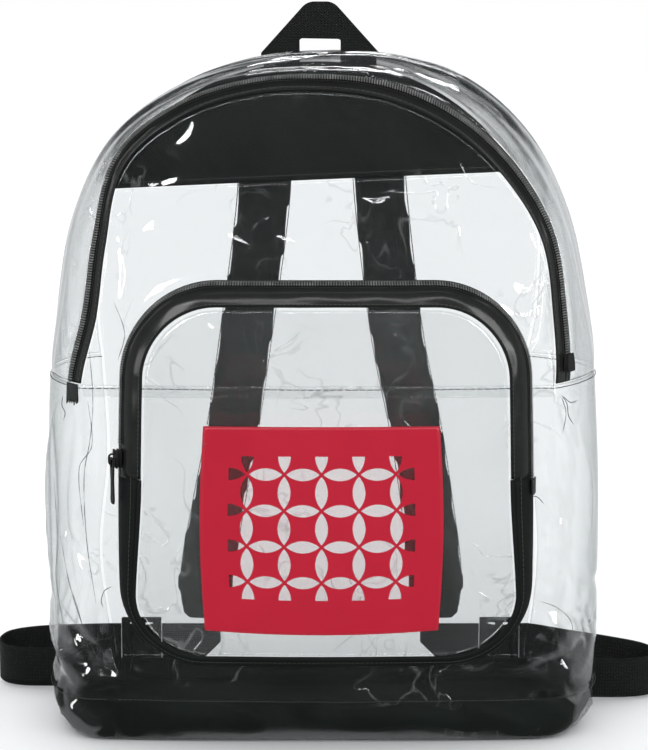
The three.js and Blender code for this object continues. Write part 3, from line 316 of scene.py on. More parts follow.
def quads(rows: int, columns: int, looped: bool) -> Array:
    """Corner numbers of a grid's faces."""
    count = columns if looped else columns - 1
    r, c = np.meshgrid(np.arange(rows - 1), np.arange(count), indexing="ij")
    n = (c + 1) % columns
    corners = [r * columns + c, r * columns + n, (r + 1) * columns + n, (r + 1) * columns + c]
    return np.stack(corners, -1).reshape(-1, 4)


def shell(
    name: str,
    grid: Array,
    wall: float,
    looped: bool = False,
    uv: Array | None = None,
    normals: Array | None = None,
) -> bpy.types.Object:
    """Closed thin sheet round a grid of points.

    Args:
        name: Name of the piece.
        grid: Points, rows by columns, in millimetres.
        wall: Thickness, in millimetres.
        looped: Whether the last column joins the first.
        uv: Flat place of each point, rows by columns, in millimetres.
        normals: Way out at each point, where the grid's own won't do.

    Returns:
        The object.
    """
    rows, columns = grid.shape[:2]
    out = grid_normals(grid, looped) if normals is None else normals
    upper, lower = grid + out * wall / 2, grid - out * wall / 2
    points = np.concatenate([upper.reshape(-1, 3), lower.reshape(-1, 3)])
    base = quads(rows, columns, looped)
    size = rows * columns
    rims = []
    wide = columns if looped else columns - 1
    for c in range(wide):
        n = (c + 1) % columns
        last = (rows - 1) * columns
        rims.append((n, c, c + size, n + size))
        rims.append((last + c, last + n, last + n + size, last + c + size))
    for r in range(0 if looped else rows - 1):
        a, b, far = r * columns, (r + 1) * columns, columns - 1
        rims.append((a, b, b + size, a + size))
        rims.append((b + far, a + far, a + far + size, b + far + size))
    faces = np.concatenate([base, base[:, ::-1] + size, np.array(rims)])
    corner = points[faces]
    volume = np.einsum("ij,ij", corner[:, 0], np.cross(corner[:, 1], corner[:, 2]))
    volume += np.einsum("ij,ij", corner[:, 0], np.cross(corner[:, 2], corner[:, 3]))
    if volume < 0:
        faces = faces[:, ::-1]
    if uv is None:
        u = np.linalg.norm(np.diff(grid, axis=1, prepend=grid[:, :1]), axis=-1).cumsum(1)
        v = np.linalg.norm(np.diff(grid, axis=0, prepend=grid[:1]), axis=-1).cumsum(0)
        uv = np.stack([u, v], -1)
    flat = uv.reshape(-1, 2)
    obj = make_object(name, points, faces, np.concatenate([flat, flat]))
    joined(obj)
    return obj


def joined(obj: bpy.types.Object, reach: float = 1e-6) -> None:
    """Joins doubled points and drops empty faces."""
    work = bmesh.new()
    work.from_mesh(obj.data)
    bmesh.ops.remove_doubles(work, verts=work.verts, dist=reach)
    bmesh.ops.dissolve_degenerate(work, dist=reach, edges=work.edges)
    work.to_mesh(obj.data)
    work.free()
    obj.data.update()


def sweep(
    name: str,
    path: Array,
    across: Array,
    out: Array,
    profile: Sequence[tuple[float, float]],
    sizes: Array | None = None,
    closed: bool = False,
) -> bpy.types.Object:
    """Solid with a section that follows a path.

    Args:
        name: Name of the piece.
        path: Points of the path, in millimetres.
        across: The section's first direction at each point.
        out: The section's second direction at each point.
        profile: Corners of the section, in millimetres.
        sizes: Two scales of the section for each point, or None.
        closed: Whether the path joins up.

    Returns:
        The object.
    """
    section = np.array(profile, float)
    scale = np.ones((len(path), 2)) if sizes is None else sizes
    points = (
        path[:, None]
        + across[:, None] * (section[None, :, :1] * scale[:, None, :1])
        + out[:, None] * (section[None, :, 1:] * scale[:, None, 1:])
    )
    count = len(section)
    if closed:
        points = np.concatenate([points, points[:1]])
    faces = quads(len(points), count, True).tolist()
    if not closed:
        faces.append(list(range(count))[::-1])
        faces.append([(len(points) - 1) * count + i for i in range(count)])
    flat = points.reshape(-1, 3)
    girth = np.concatenate([[0], np.cumsum(np.linalg.norm(np.diff(section, axis=0), axis=1))])
    run = along(points.mean(axis=1))
    uv = np.stack(np.broadcast_arrays(girth[None, :], run[:, None]), -1).reshape(-1, 2)
    centre = points.mean(axis=1)
    probe = np.cross(points[0, 1] - points[0, 0], points[min(1, len(points) - 1), 0] - points[0, 0])
    if probe @ (points[0, 0] - centre[0]) < 0:
        faces = [list(reversed(face)) for face in faces]
    obj = make_object(name, flat, faces, uv)
    joined(obj)
    return obj


def finish_with(obj: bpy.types.Object, *modifiers: tuple[str, dict[str, Any]]) -> bpy.types.Object:
    """Adds modifiers, and makes their result the object's own mesh.

    Args:
        obj: The object.
        modifiers: Kind and settings of each modifier.

    Returns:
        The same object.
    """
    for kind, settings in modifiers:
        modifier = obj.modifiers.new(kind.title(), kind)
        for key, value in settings.items():
            setattr(modifier, key, value)
    graph = bpy.context.evaluated_depsgraph_get()
    graph.update()
    mesh = bpy.data.meshes.new_from_object(obj.evaluated_get(graph), depsgraph=graph)
    obj.modifiers.clear()
    old, obj.data = obj.data, mesh
    bpy.data.meshes.remove(old)
    return obj


def softened(obj: bpy.types.Object, width: float, segments: int = 2) -> bpy.types.Object:
    """Rounds a piece's edges over a width in millimetres."""
    settings = {"width": width * MM, "segments": segments, "limit_method": "ANGLE", "angle_limit": 0.6}
    finish_with(obj, ("BEVEL", settings))
    obj.data.shade_smooth()
    finish_with(obj, ("WEIGHTED_NORMAL", {"keep_sharp": False}))
    return obj


# Repeats


class Repeat(Enum):
    """What a path repeater sets along its path."""

    STITCH = "stitch"
    TOOTH = "tooth"


class PathRepeater:
    """Sets small pieces along a path with a geometry node tree."""

    def __init__(self, kind: Repeat) -> None:
        """Builds the tree.

        Args:
            kind: What is repeated.
        """
        self.tree = bpy.data.node_groups.new(f"{kind.value} repeater", "GeometryNodeTree")
        face = self.tree.interface
        face.new_socket("Geometry", in_out="INPUT", socket_type="NodeSocketGeometry")
        self.ids: dict[str, str] = {}
        for name, start in (
            ("Pitch", 0.003),
            ("Length", 0.002),
            ("Width", 0.001),
            ("Height", 0.0005),
            ("Slant", 0.0),
            ("Uneven", 0.0),
        ):
            socket = face.new_socket(name, in_out="INPUT", socket_type="NodeSocketFloat")
            socket.default_value = start
            self.ids[name] = socket.identifier
        seed = face.new_socket("Seed", in_out="INPUT", socket_type="NodeSocketInt")
        self.ids["Seed"] = seed.identifier
        paint = face.new_socket("Material", in_out="INPUT", socket_type="NodeSocketMaterial")
        self.ids["Material"] = paint.identifier
        face.new_socket("Geometry", in_out="OUTPUT", socket_type="NodeSocketGeometry")
        given = self.tree.nodes.new("NodeGroupInput")
        curve = self.node("GeometryNodeMeshToCurve", {}, {"Mesh": given.outputs["Geometry"]})
        spaced = self.node(
            "GeometryNodeResampleCurve",
            {"mode": "LENGTH"},
            {"Curve": curve.outputs["Curve"], "Length": given.outputs["Pitch"]},
        )
        tangent = self.node("GeometryNodeInputTangent", {}, {})
        out = self.node("GeometryNodeInputNamedAttribute", {"data_type": "FLOAT_VECTOR"}, {"Name": "out"})
        turn = self.node(
            "FunctionNodeAxesToRotation",
            {"primary_axis": "X", "secondary_axis": "Z"},
            {"Primary Axis": tangent.outputs["Tangent"], "Secondary Axis": out.outputs["Attribute"]},
        )
        small = self.small_piece(kind, given)
        uneven = self.node(
            "FunctionNodeRandomValue",
            {"data_type": "FLOAT"},
            {"Min": -1.0, "Max": 1.0, "Seed": given.outputs["Seed"]},
        )
        wobble = self.node(
            "ShaderNodeMath",
            {"operation": "MULTIPLY"},
            {0: next(o for o in uneven.outputs if o.enabled), 1: given.outputs["Uneven"]},
        )
        angle = self.node(
            "ShaderNodeMath", {"operation": "ADD"}, {0: wobble.outputs[0], 1: given.outputs["Slant"]}
        )
        spin = self.node(
            "FunctionNodeAxisAngleToRotation", {}, {"Axis": (0.0, 0.0, 1.0), "Angle": angle.outputs[0]}
        )
        both = self.node(
            "FunctionNodeRotateRotation",
            {"rotation_space": "LOCAL"},
            {"Rotation": turn.outputs[0], "Rotate By": spin.outputs[0]},
        )
        placed = self.node(
            "GeometryNodeInstanceOnPoints",
            {},
            {"Points": spaced.outputs["Curve"], "Instance": small, "Rotation": both.outputs[0]},
        )
        real = self.node("GeometryNodeRealizeInstances", {}, {"Geometry": placed.outputs["Instances"]})
        painted = self.node(
            "GeometryNodeSetMaterial",
            {},
            {"Geometry": real.outputs["Geometry"], "Material": given.outputs["Material"]},
        )
        result = self.tree.nodes.new("NodeGroupOutput")
        self.tree.links.new(painted.outputs["Geometry"], result.inputs["Geometry"])

    def node(self, kind: str, settings: dict[str, Any], inputs: dict[Any, Any]) -> bpy.types.Node:
        """Adds a node.

        Args:
            kind: The node's type.
            settings: Its settings, which are set first.
            inputs: Values or links of its sockets.

        Returns:
            The node.
        """
        made = self.tree.nodes.new(kind)
        for key, value in settings.items():
            setattr(made, key, value)
        for key, value in inputs.items():
            socket = (
                next((s for s in made.inputs if s.name == key and s.enabled), None)
                if isinstance(key, str)
                else made.inputs[key]
            )
            if isinstance(value, bpy.types.NodeSocket):
                self.tree.links.new(value, socket)
            else:
                socket.default_value = value
        return made

    def small_piece(self, kind: Repeat, given: bpy.types.Node) -> bpy.types.NodeSocket:
        """The repeated piece: a low rounded bar that lies along or across the path."""
        bar = self.node("GeometryNodeMeshCylinder", {}, {"Vertices": 7, "Radius": 0.5, "Depth": 1.0})
        lay = (0.0, math.pi / 2, 0.0) if kind is Repeat.STITCH else (math.pi / 2, 0.0, 0.0)
        laid = self.node(
            "GeometryNodeTransform", {}, {"Geometry": bar.outputs["Mesh"], "Rotation": lay}
        )
        size = self.node(
            "ShaderNodeCombineXYZ",
            {},
            {"X": given.outputs["Length"], "Y": given.outputs["Width"], "Z": given.outputs["Height"]},
        )
        sized = self.node(
            "GeometryNodeTransform", {}, {"Geometry": laid.outputs[0], "Scale": size.outputs[0]}
        )
        shaded = self.node(
            "GeometryNodeSetShadeSmooth",
            {},
            {"Geometry": sized.outputs[0], "Shade Smooth": kind is not Repeat.STITCH},
        )
        return shaded.outputs[0]

    def along_path(
        self, name: str, path: Array, out: Array, material: bpy.types.Material, seed: int = 1, **sizes: float
    ) -> bpy.types.Object:
        """Small pieces along a path, as one plain mesh.

        Args:
            name: Name of the piece.
            path: Points of the path, in millimetres.
            out: Way out of the surface at each point.
            material: Finish of the small pieces.
            seed: Seed of their unevenness.
            sizes: Pitch, Length, Width, Height in millimetres, Slant and Uneven in radians.

        Returns:
            The object.
        """
        mesh = bpy.data.meshes.new(name)
        edges = [(i, i + 1) for i in range(len(path) - 1)]
        mesh.from_pydata((np.asarray(path) * MM).tolist(), edges, [])
        layer = mesh.attributes.new("out", "FLOAT_VECTOR", "POINT")
        layer.data.foreach_set("vector", np.asarray(out, np.float32).ravel())
        obj = bpy.data.objects.new(name, mesh)
        bpy.context.scene.collection.objects.link(obj)
        modifier = obj.modifiers.new("Repeat", "NODES")
        modifier.node_group = self.tree
        for key, value in sizes.items():
            label = key.title()
            modifier[self.ids[label]] = float(value) if label in ("Slant", "Uneven") else float(value) * MM
        modifier[self.ids["Seed"]] = seed
        modifier[self.ids["Material"]] = material
        graph = bpy.context.evaluated_depsgraph_get()
        graph.update()
        made = bpy.data.meshes.new_from_object(obj.evaluated_get(graph), depsgraph=graph)
        obj.modifiers.clear()
        obj.data = made
        bpy.data.meshes.remove(mesh)
        if not made.materials:
            made.materials.append(material)
        return obj


# Shader maths


class Sock:
    """A shader socket whose operators add the Math nodes they need."""

    def __init__(self, shade: "Shade", socket: bpy.types.NodeSocket) -> None:
        """Wraps a socket of a material's tree."""
        self.shade = shade
        self.socket = socket

    def _math(self, operation: str, *values: Any) -> "Sock":
        """A Math node on values, as a wrapped socket."""
        return self.shade.node("ShaderNodeMath", {"operation": operation}, dict(enumerate(values)))

    def __add__(self, other: Any) -> "Sock":
        """Sum."""
        return self._math("ADD", self, other)

    def __sub__(self, other: Any) -> "Sock":
        """Difference."""
        return self._math("SUBTRACT", self, other)

    def __rsub__(self, other: Any) -> "Sock":
        """Difference from a number."""
        return self._math("SUBTRACT", other, self)

    def __mul__(self, other: Any) -> "Sock":
        """Product."""
        return self._math("MULTIPLY", self, other)

    def __truediv__(self, other: Any) -> "Sock":
        """Quotient."""
        return self._math("DIVIDE", self, other)

    def __pow__(self, other: Any) -> "Sock":
        """Power."""
        return self._math("POWER", self, other)

    __radd__ = __add__
    __rmul__ = __mul__

    def sin(self) -> "Sock":
        """Sine."""
        return self._math("SINE", self)

    def abs(self) -> "Sock":
        """Size without sign."""
        return self._math("ABSOLUTE", self)

    def fract(self) -> "Sock":
        """Part after the point."""
        return self._math("FRACT", self)

    def root(self) -> "Sock":
        """Square root."""
        return self._math("SQRT", self)

    def clamp(self) -> "Sock":
        """Kept from 0 to 1."""
        return self.shade.node("ShaderNodeClamp", {}, {"Value": self})

    def ramp(self, low: float, high: float) -> "Sock":
        """Smooth step from 0 at low to 1 at high."""
        settings = {"interpolation_type": "SMOOTHSTEP"}
        return self.shade.node(
            "ShaderNodeMapRange", settings, {"Value": self, "From Min": low, "From Max": high}
        )


class Shade:
    """A material's node tree while it is built."""

    def __init__(self, name: str) -> None:
        """Starts an empty material.

        Args:
            name: Name of the finish.
        """
        self.material = bpy.data.materials.new(name)
        self.material.use_nodes = True
        self.tree = self.material.node_tree
        self.tree.nodes.clear()

    def raw(self, kind: str, settings: dict[str, Any], inputs: dict[Any, Any]) -> bpy.types.Node:
        """Adds a node.

        Args:
            kind: The node's type.
            settings: Its settings, which are set first; "stops" sets a ramp's stops.
            inputs: Values or links of its sockets.

        Returns:
            The node.
        """
        made = self.tree.nodes.new(kind)
        for key, value in settings.items():
            if key != "stops":
                setattr(made, key, value)
                continue
            elements = made.color_ramp.elements
            while len(elements) < len(value):
                elements.new(0.5)
            for element, (place, colour) in zip(elements, value):
                element.position, element.color = place, (*colour, 1.0)
        for key, value in inputs.items():
            named = [s for s in made.inputs if s.name == key and s.enabled] if isinstance(key, str) else []
            socket = named[0] if named else made.inputs[key]
            if isinstance(value, Sock):
                value = value.socket
            if isinstance(value, bpy.types.NodeSocket):
                self.tree.links.new(value, socket)
            elif socket.type == "RGBA" and len(value) == 3:
                socket.default_value = (*value, 1.0)
            else:
                socket.default_value = value
        return made

    def node(
        self, kind: str, settings: dict[str, Any], inputs: dict[Any, Any], output: str | int = 0
    ) -> Sock:
        """Adds a node and wraps one of its outputs."""
        made = self.raw(kind, settings, inputs)
        outputs = [o for o in made.outputs if o.enabled] if isinstance(output, int) else made.outputs
        return Sock(self, outputs[output])

    def place(self, flat: bool) -> Sock:
        """Where a point is: on the flat sheet, or in the object."""
        if flat:
            return self.node("ShaderNodeUVMap", {"uv_map": "flat"}, {})
        return self.node("ShaderNodeTexCoord", {}, {}, "Object")

    def split(self, vector: Sock) -> tuple[Sock, Sock, Sock]:
        """The three parts of a vector."""
        parts = self.raw("ShaderNodeSeparateXYZ", {}, {"Vector": vector})
        return Sock(self, parts.outputs[0]), Sock(self, parts.outputs[1]), Sock(self, parts.outputs[2])

    def noise(self, place: Sock, scale: float, detail: float = 2.0, **inputs: float) -> Sock:
        """Noise from 0 to 1, with its scale per metre."""
        values = {"Vector": place, "Scale": scale, "Detail": detail, **inputs}
        return self.node("ShaderNodeTexNoise", {"noise_dimensions": "3D"}, values)

    def mix(self, share: Any, first: Any, second: Any) -> Sock:
        """Blend of two colours."""
        made = self.raw("ShaderNodeMix", {"data_type": "RGBA"}, {"Factor": share})
        for socket, value in zip([s for s in made.inputs if s.enabled and s.type == "RGBA"], (first, second)):
            if isinstance(value, Sock):
                self.tree.links.new(value.socket, socket)
            else:
                socket.default_value = (*value, 1.0)
        return Sock(self, next(o for o in made.outputs if o.enabled))

    def bump(self, height: Sock, distance: float, strength: float = 1.0, normal: Sock | None = None) -> Sock:
        """Normal bent by a height from 0 to 1, over a distance in millimetres."""
        inputs: dict[str, Any] = {"Strength": strength, "Distance": distance * MM, "Height": height}
        if normal is not None:
            inputs["Normal"] = normal
        return self.node("ShaderNodeBump", {}, inputs)

    def principled(self, **inputs: Any) -> Sock:
        """A Principled shader; underscores in names stand for spaces."""
        named = {key.replace("_", " "): value for key, value in inputs.items()}
        return self.node("ShaderNodeBsdfPrincipled", {}, named)

    def done(self, surface: Sock) -> bpy.types.Material:
        """Joins the surface to the output and gives the material."""
        self.raw("ShaderNodeOutputMaterial", {}, {"Surface": surface})
        return self.material


# Finishes

Colour = tuple[float, float, float]
BLACK: Colour = (0.0026, 0.0048, 0.0034)


@dataclass(frozen=True)
class ClearVinyl:
    """Thin clear vinyl: see-through, with sharp reflections, fine creases, a little haze and painted shade
    along the crease lines.
    """

    name: str = "clear vinyl"
    tint: Colour = (0.975, 0.979, 0.979)
    thick: Colour = (0.62, 0.64, 0.637)
    slope: float = 5.0
    calm_below: float = 0.0
    haze: float = 0.012
    # Depth of the crease lines' bump, and strength of the painted shade along them.
    crease: float = 0.5
    fine: float = 1.0

    def build(self) -> bpy.types.Material:
        """Builds the material."""
        shade = Shade(self.name)
        place = shade.place(False)
        wander = shade.noise(place, 9.0, 1.0, Distortion=0.6)
        patches = shade.noise(place, 17.0, 0.0).ramp(0.56, 0.68)
        lines = (shade.noise(place, 26.0, 2.0, Distortion=1.2) - 0.5).abs()
        lines = (1 - lines.ramp(0.0, 0.022)) * patches
        dents = shade.noise(place, 60.0, 1.0)
        height = wander * 0.6 + dents * 0.2 * self.fine + lines * 0.06 * self.crease
        normal = shade.bump(height, 7.0, 0.7)
        gloss = shade.principled(
            Base_Color=(0.98, 0.99, 1.0), Metallic=1.0, Roughness=0.085, Normal=normal
        )
        milk = shade.principled(
            Base_Color=(0.36, 0.38, 0.37), Roughness=0.35, IOR=1.2, Normal=normal
        )
        clear = shade.node("ShaderNodeBsdfTransparent", {}, {"Color": self.tint})
        cloud = shade.noise(place, 18.0, 0.0).ramp(0.35, 0.8)
        # The milk share is the sheet's even haze plus painted shade along the crease lines.
        haze = (cloud * 0.6 + 0.7) * self.haze + lines * 0.22 * self.crease
        slant = shade.node("ShaderNodeLayerWeight", {}, {"Blend": 0.5}, "Facing")
        deep = shade.node("ShaderNodeBsdfTransparent", {}, {"Color": self.thick})
        clear = shade.node("ShaderNodeMixShader", {}, {0: slant**3.0, 1: clear, 2: deep})
        body = shade.node("ShaderNodeMixShader", {}, {0: haze, 1: clear, 2: milk})
        edge = slant**self.slope * 0.9
        if self.calm_below:
            height_up = shade.split(place)[2]
            edge = edge * (height_up.ramp(self.calm_below, self.calm_below + 0.02) * 0.9 + 0.1)
        mirror = edge + 0.045
        surface = shade.node("ShaderNodeMixShader", {}, {0: mirror, 1: body, 2: gloss})
        return shade.done(surface)


@dataclass(frozen=True)
class WovenFabric:
    """Black coated polyester with a fine weave, under clear vinyl where it is glossy."""

    name: str = "black fabric"
    colour: Colour = BLACK
    thread: float = 0.55
    gloss: float = 0.0
    mottle_and_reflection: float = 0.5

    def build(self) -> bpy.types.Material:
        """Builds the material."""
        shade = Shade(self.name)
        u, v, _ = shade.split(shade.place(True))
        step = math.pi / (self.thread * MM)
        weave = ((u * step).sin() * (v * step).sin()) * 0.5 + 0.5
        where = shade.place(False)
        cloud = shade.noise(where, 22.0, 3.0, Distortion=0.5)
        slub = shade.noise(where, 340.0, 2.0)
        lighter = tuple(2.2 * c + 0.001 for c in self.colour)
        # Cloudy lighter patches: the fabric's own uneven tone, and painted soft reflections of the clear
        # vinyl over it.
        amount = (cloud.ramp(0.35, 0.75) * self.mottle_and_reflection + slub * 0.25 + weave * 0.18).clamp()
        colour = shade.mix(amount, self.colour, lighter)
        worn = shade.bump(cloud, 2.5, 0.5)
        normal = shade.bump(weave * 0.7 + slub * 0.3, 0.12, 0.7, worn)
        values: dict[str, Any] = {
            "Base_Color": colour,
            "Roughness": cloud * 0.16 + 0.62,
            "Normal": normal,
            "Specular_IOR_Level": 0.1,
        }
        if self.gloss:
            soft = shade.noise(where, 11.0, 2.0, Distortion=0.9)
            values |= {
                "Coat_Weight": self.gloss,
                "Coat_Roughness": 0.05,
                "Normal": shade.bump(weave * 0.4 + slub * 0.3, 0.08, 0.4, shade.bump(soft, 9.0, 0.8)),
            }
        return shade.done(shade.principled(**values))


@dataclass(frozen=True)
class RibbedWebbing:
    """Woven webbing or zip tape: fine ribs across, with a thread texture."""

    name: str = "black webbing"
    colour: Colour = (0.0018, 0.0036, 0.0024)
    rib: float = 1.25
    gloss: float = 0.0
    depth: float = 0.35
    chevron: float = 0.0

    def build(self) -> bpy.types.Material:
        """Builds the material."""
        shade = Shade(self.name)
        u, v, _ = shade.split(shade.place(True))
        step = 2 * math.pi / (self.rib * MM)
        warp = (u * step * 0.8).sin()
        weft = (v * step + warp * self.chevron).sin()
        ribs = (weft * 0.5 + 0.5) * (warp * 0.22 + 0.78)
        grain = shade.noise(shade.place(False), 900.0, 2.0)
        worn = shade.noise(shade.place(False), 60.0, 2.0)
        amount = (ribs * 0.5 + grain * 0.3 + worn.ramp(0.4, 0.8) * 0.25).clamp()
        colour = shade.mix(amount, self.colour, tuple(3.4 * c + 0.002 for c in self.colour))
        normal = shade.bump(ribs * 0.85 + grain * 0.15, self.depth, 0.8)
        rough = 0.75 - ribs * 0.2
        values: dict[str, Any] = {"Base_Color": colour, "Roughness": rough, "Specular_IOR_Level": 0.16}
        if self.gloss:
            soft = shade.noise(shade.place(False), 70.0, 2.0, Distortion=0.8)
            normal = shade.bump(soft, 2.5, 0.6, normal)
            values |= {"Coat_Weight": self.gloss, "Coat_Roughness": 0.16}
        return shade.done(shade.principled(Normal=normal, **values))


@dataclass(frozen=True)
class SatinPlastic:
    """Moulded black plastic with a faint grain."""

    name: str = "black plastic"
    colour: Colour = (0.003, 0.004, 0.003)
    rough: float = 0.6

    def build(self) -> bpy.types.Material:
        """Builds the material."""
        shade = Shade(self.name)
        place = shade.place(False)
        grain = shade.noise(place, 1400.0, 1.0)
        smear = shade.noise(place, 160.0, 2.0)
        normal = shade.bump(grain, 0.05, 0.5)
        colour = shade.mix(smear.ramp(0.4, 0.8), self.colour, tuple(2.2 * c for c in self.colour))
        rough = smear * 0.2 + (self.rough - 0.1)
        return shade.done(
            shade.principled(Base_Color=colour, Roughness=rough, Normal=normal, Specular_IOR_Level=0.2)
        )


@dataclass(frozen=True)
class SewingThread:
    """Black sewing thread."""

    name: str = "black thread"
    colour: Colour = (0.010, 0.011, 0.010)

    def build(self) -> bpy.types.Material:
        """Builds the material."""
        shade = Shade(self.name)
        grain = shade.noise(shade.place(False), 2500.0, 1.0)
        colour = shade.mix(grain, self.colour, tuple(3.5 * c for c in self.colour))
        return shade.done(shade.principled(Base_Color=colour, Roughness=0.6, Normal=shade.bump(grain, 0.1)))


@dataclass(frozen=True)
class PrintedPanel:
    """Crimson ink on clear vinyl, with a traditional tile of overlapping circles left clear."""

    name: str = "red print"
    ink: Colour = (0.50, 0.009, 0.031)
    pitch: float = 20.6
    left: float = -51.5
    right: float = 51.5
    low: float = 20.0
    high: float = 102.4

    def build(self) -> bpy.types.Material:
        """Builds the material."""
        shade = Shade(self.name)
        u, v, _ = shade.split(shade.place(True))
        fu = ((u / MM - self.left) / self.pitch).fract()
        fv = ((v / MM - self.low) / self.pitch).fract()
        radius = math.sqrt(0.5) - 0.035
        inside: Sock | None = None
        for cu in (0.0, 1.0):
            for cv in (0.0, 1.0):
                away = ((fu - cu) ** 2.0 + (fv - cv) ** 2.0).root()
                hit = (radius - away).ramp(-0.008, 0.008)
                inside = hit if inside is None else inside + hit
        leaf = (inside - 1.0).clamp()
        window = (u / MM).ramp(self.left - 0.2, self.left + 0.2) * (self.right - u / MM).ramp(-0.2, 0.2)
        window = window * (v / MM).ramp(self.low - 0.2, self.low + 0.2) * (self.high - v / MM).ramp(-0.2, 0.2)
        open_share = leaf * window
        place = shade.place(False)
        cloud = shade.noise(place, 40.0, 2.0)
        colour = shade.mix(cloud.ramp(0.3, 0.8) * 0.35, self.ink, tuple(0.86 * c for c in self.ink))
        normal = shade.bump(shade.noise(place, 30.0, 2.0), 1.0, 0.4)
        ink = shade.principled(Base_Color=colour, Roughness=0.28, Normal=normal, Specular_IOR_Level=0.25)
        clear = shade.node("ShaderNodeBsdfTransparent", {}, {"Color": (0.985, 0.985, 0.985)})
        cover = 1 - open_share * 0.93
        cover = cover * 0.955
        return shade.done(shade.node("ShaderNodeMixShader", {}, {0: cover, 1: clear, 2: ink}))


class Finishes:
    """Every material of the bag, built once."""

    def __init__(self) -> None:
        """Builds them all."""
        self.vinyl = ClearVinyl().build()
        self.pocket_vinyl = ClearVinyl(name="clear pocket vinyl", haze=0.045, crease=0.8, fine=0.9).build()
        self.lower_vinyl = ClearVinyl(name="clear lower vinyl", calm_below=0.022).build()
        self.top_vinyl = ClearVinyl(name="clear top vinyl", thick=(0.42, 0.44, 0.43), slope=2.7).build()
        self.back_vinyl = ClearVinyl(name="clear back vinyl", haze=0.01, crease=0.4, fine=0.7).build()
        self.fabric = WovenFabric().build()
        # The base's strong cloudy patches also paint the soft grey reflections of the vinyl over it.
        self.base = WovenFabric(name="black base under vinyl", mottle_and_reflection=0.8).build()
        self.strap = WovenFabric(name="black strap fabric", thread=0.7, mottle_and_reflection=0.35).build()
        self.webbing = RibbedWebbing().build()
        self.loop = RibbedWebbing(name="black loop webbing", chevron=1.6, rib=1.7, depth=0.9).build()
        self.tape = RibbedWebbing(name="black zip tape", rib=0.7, depth=0.15, gloss=0.25).build()
        self.plastic = SatinPlastic().build()
        # The black coil's grey colour paints the small highlights that it shows as light dots.
        self.teeth = SatinPlastic(name="black zip teeth", colour=(0.13, 0.135, 0.13), rough=0.3).build()
        self.thread = SewingThread().build()
        self.print = PrintedPanel().build()


# The bag's form

LOWER_FOLDS = (
    Fold(((-150, -40, 200), (-154, -30, 150), (-150, -44, 60)), -3.4, 5.0, 1.6),
    Fold(((-140, -56, 196), (-146, -50, 140), (-138, -58, 70)), 2.4, 3.2, 1.4),
    Fold(((-160, -6, 190), (-162, 6, 120), (-158, 0, 50)), 2.6, 6.0, 1.6),
    Fold(((-152, -36, 84), (-138, -58, 62), (-118, -66, 40)), 3.2, 3.4, 1.3),
    Fold(((-158, -14, 74), (-146, -46, 50), (-128, -62, 33)), -3.4, 4.4, 1.5),
    Fold(((-160, 10, 70), (-154, -28, 44), (-140, -54, 31)), 3.0, 3.6, 1.4),
    Fold(((-120, -66, 52), (-110, -67, 44), (-114, -67, 36)), 2.6, 3.4, 1.4),
    Fold(((-104, -68, 60), (-94, -68, 48), (-100, -68, 38)), -1.8, 3.8, 1.5),
    Fold(((-148, -44, 130), (-140, -54, 118), (-132, -60, 104)), 2.0, 3.2, 1.4),
    Fold(((132, -62, 112), (152, -40, 92), (164, 0, 84)), 2.8, 4.2, 1.4),
    Fold(((122, -66, 84), (140, -56, 78), (152, -36, 60), (146, -48, 44)), 2.8, 3.2, 1.3),
    Fold(((112, -67, 40), (140, -56, 50), (158, -20, 70)), 3.4, 6.0, 1.5),
    Fold(((146, -50, 190), (152, -42, 150), (150, -44, 110)), -2.8, 8.0, 1.6),
    Fold(((128, -64, 180), (134, -60, 140), (126, -64, 112)), 2.0, 5.0, 1.5),
    Fold(((134, -60, 208), (140, -56, 192), (146, -50, 172)), 2.0, 3.0, 1.4),
    Fold(((-130, -60, 32), (-118, -64, 24), (-122, -64, 14)), 2.6, 3.6, 1.4),
    Fold(((-146, -48, 30), (-140, -54, 18), (-128, -60, 8)), -2.8, 4.6, 1.5),
    Fold(((-112, -66, 26), (-90, -68, 18), (-60, -70, 16), (-30, -71, 10)), 1.6, 4.6, 1.5),
    Fold(((-20, -71, 22), (20, -71, 16), (60, -70, 18), (96, -68, 10)), 1.4, 5.0, 1.5),
    Fold(((84, -68, 24), (108, -67, 14), (126, -62, 6)), 2.4, 4.4, 1.4),
    Fold(((118, -66, 34), (136, -58, 22), (142, -52, 8)), 3.0, 5.0, 1.4),
    Fold(((140, -52, 34), (150, -36, 20), (148, -36, 6)), -2.8, 5.0, 1.5),
    Fold(((-60, -70, 36), (-20, -71, 33), (30, -71, 37), (70, -70, 33)), 1.2, 4.0, 1.5),
)
ARCH = Table(
    "turn",
    "front belly back",
    [
        (0, 0.819, 1.0, 0.789),
        (15, 0.835, 0.994, 0.86),
        (30, 0.882, 1.028, 0.945),
        (45, 0.894, 1.06, 0.98),
        (60, 0.898, 1.06, 0.99),
        (75, 0.896, 1.027, 0.988),
        (90, 0.894, 1.0, 0.984),
        (105, 0.913, 1.01, 0.992),
        (120, 0.94, 1.039, 1.004),
        (135, 0.945, 1.056, 1.002),
        (150, 0.852, 1.032, 0.95),
        (165, 0.8, 0.993, 0.881),
        (180, 0.83, 0.979, 0.837),
    ],
)
SIDES = Table(
    "up",
    "front_left belly_left back_left front_right belly_right back_right bevel",
    [
        (0.0, 0.8, 0.965, 0.8, 0.8, 0.98, 0.8, 0.0),
        (0.13, 0.8, 0.985, 0.815, 0.8, 1.01, 0.815, 0.05),
        (0.4, 0.81, 0.994, 0.855, 0.8, 1.018, 0.84, 0.15),
        (0.7, 0.82, 0.988, 0.82, 0.81, 1.015, 0.81, 0.45),
        (1.0, 0.83, 0.979, 0.837, 0.819, 1.0, 0.789, 1.0),
    ],
)
FOOT = Table("up", "inset", [(0.0, 1.0), (0.09, 0.58), (0.3, 0.2), (0.6, 0.03), (1.0, 0.0)])
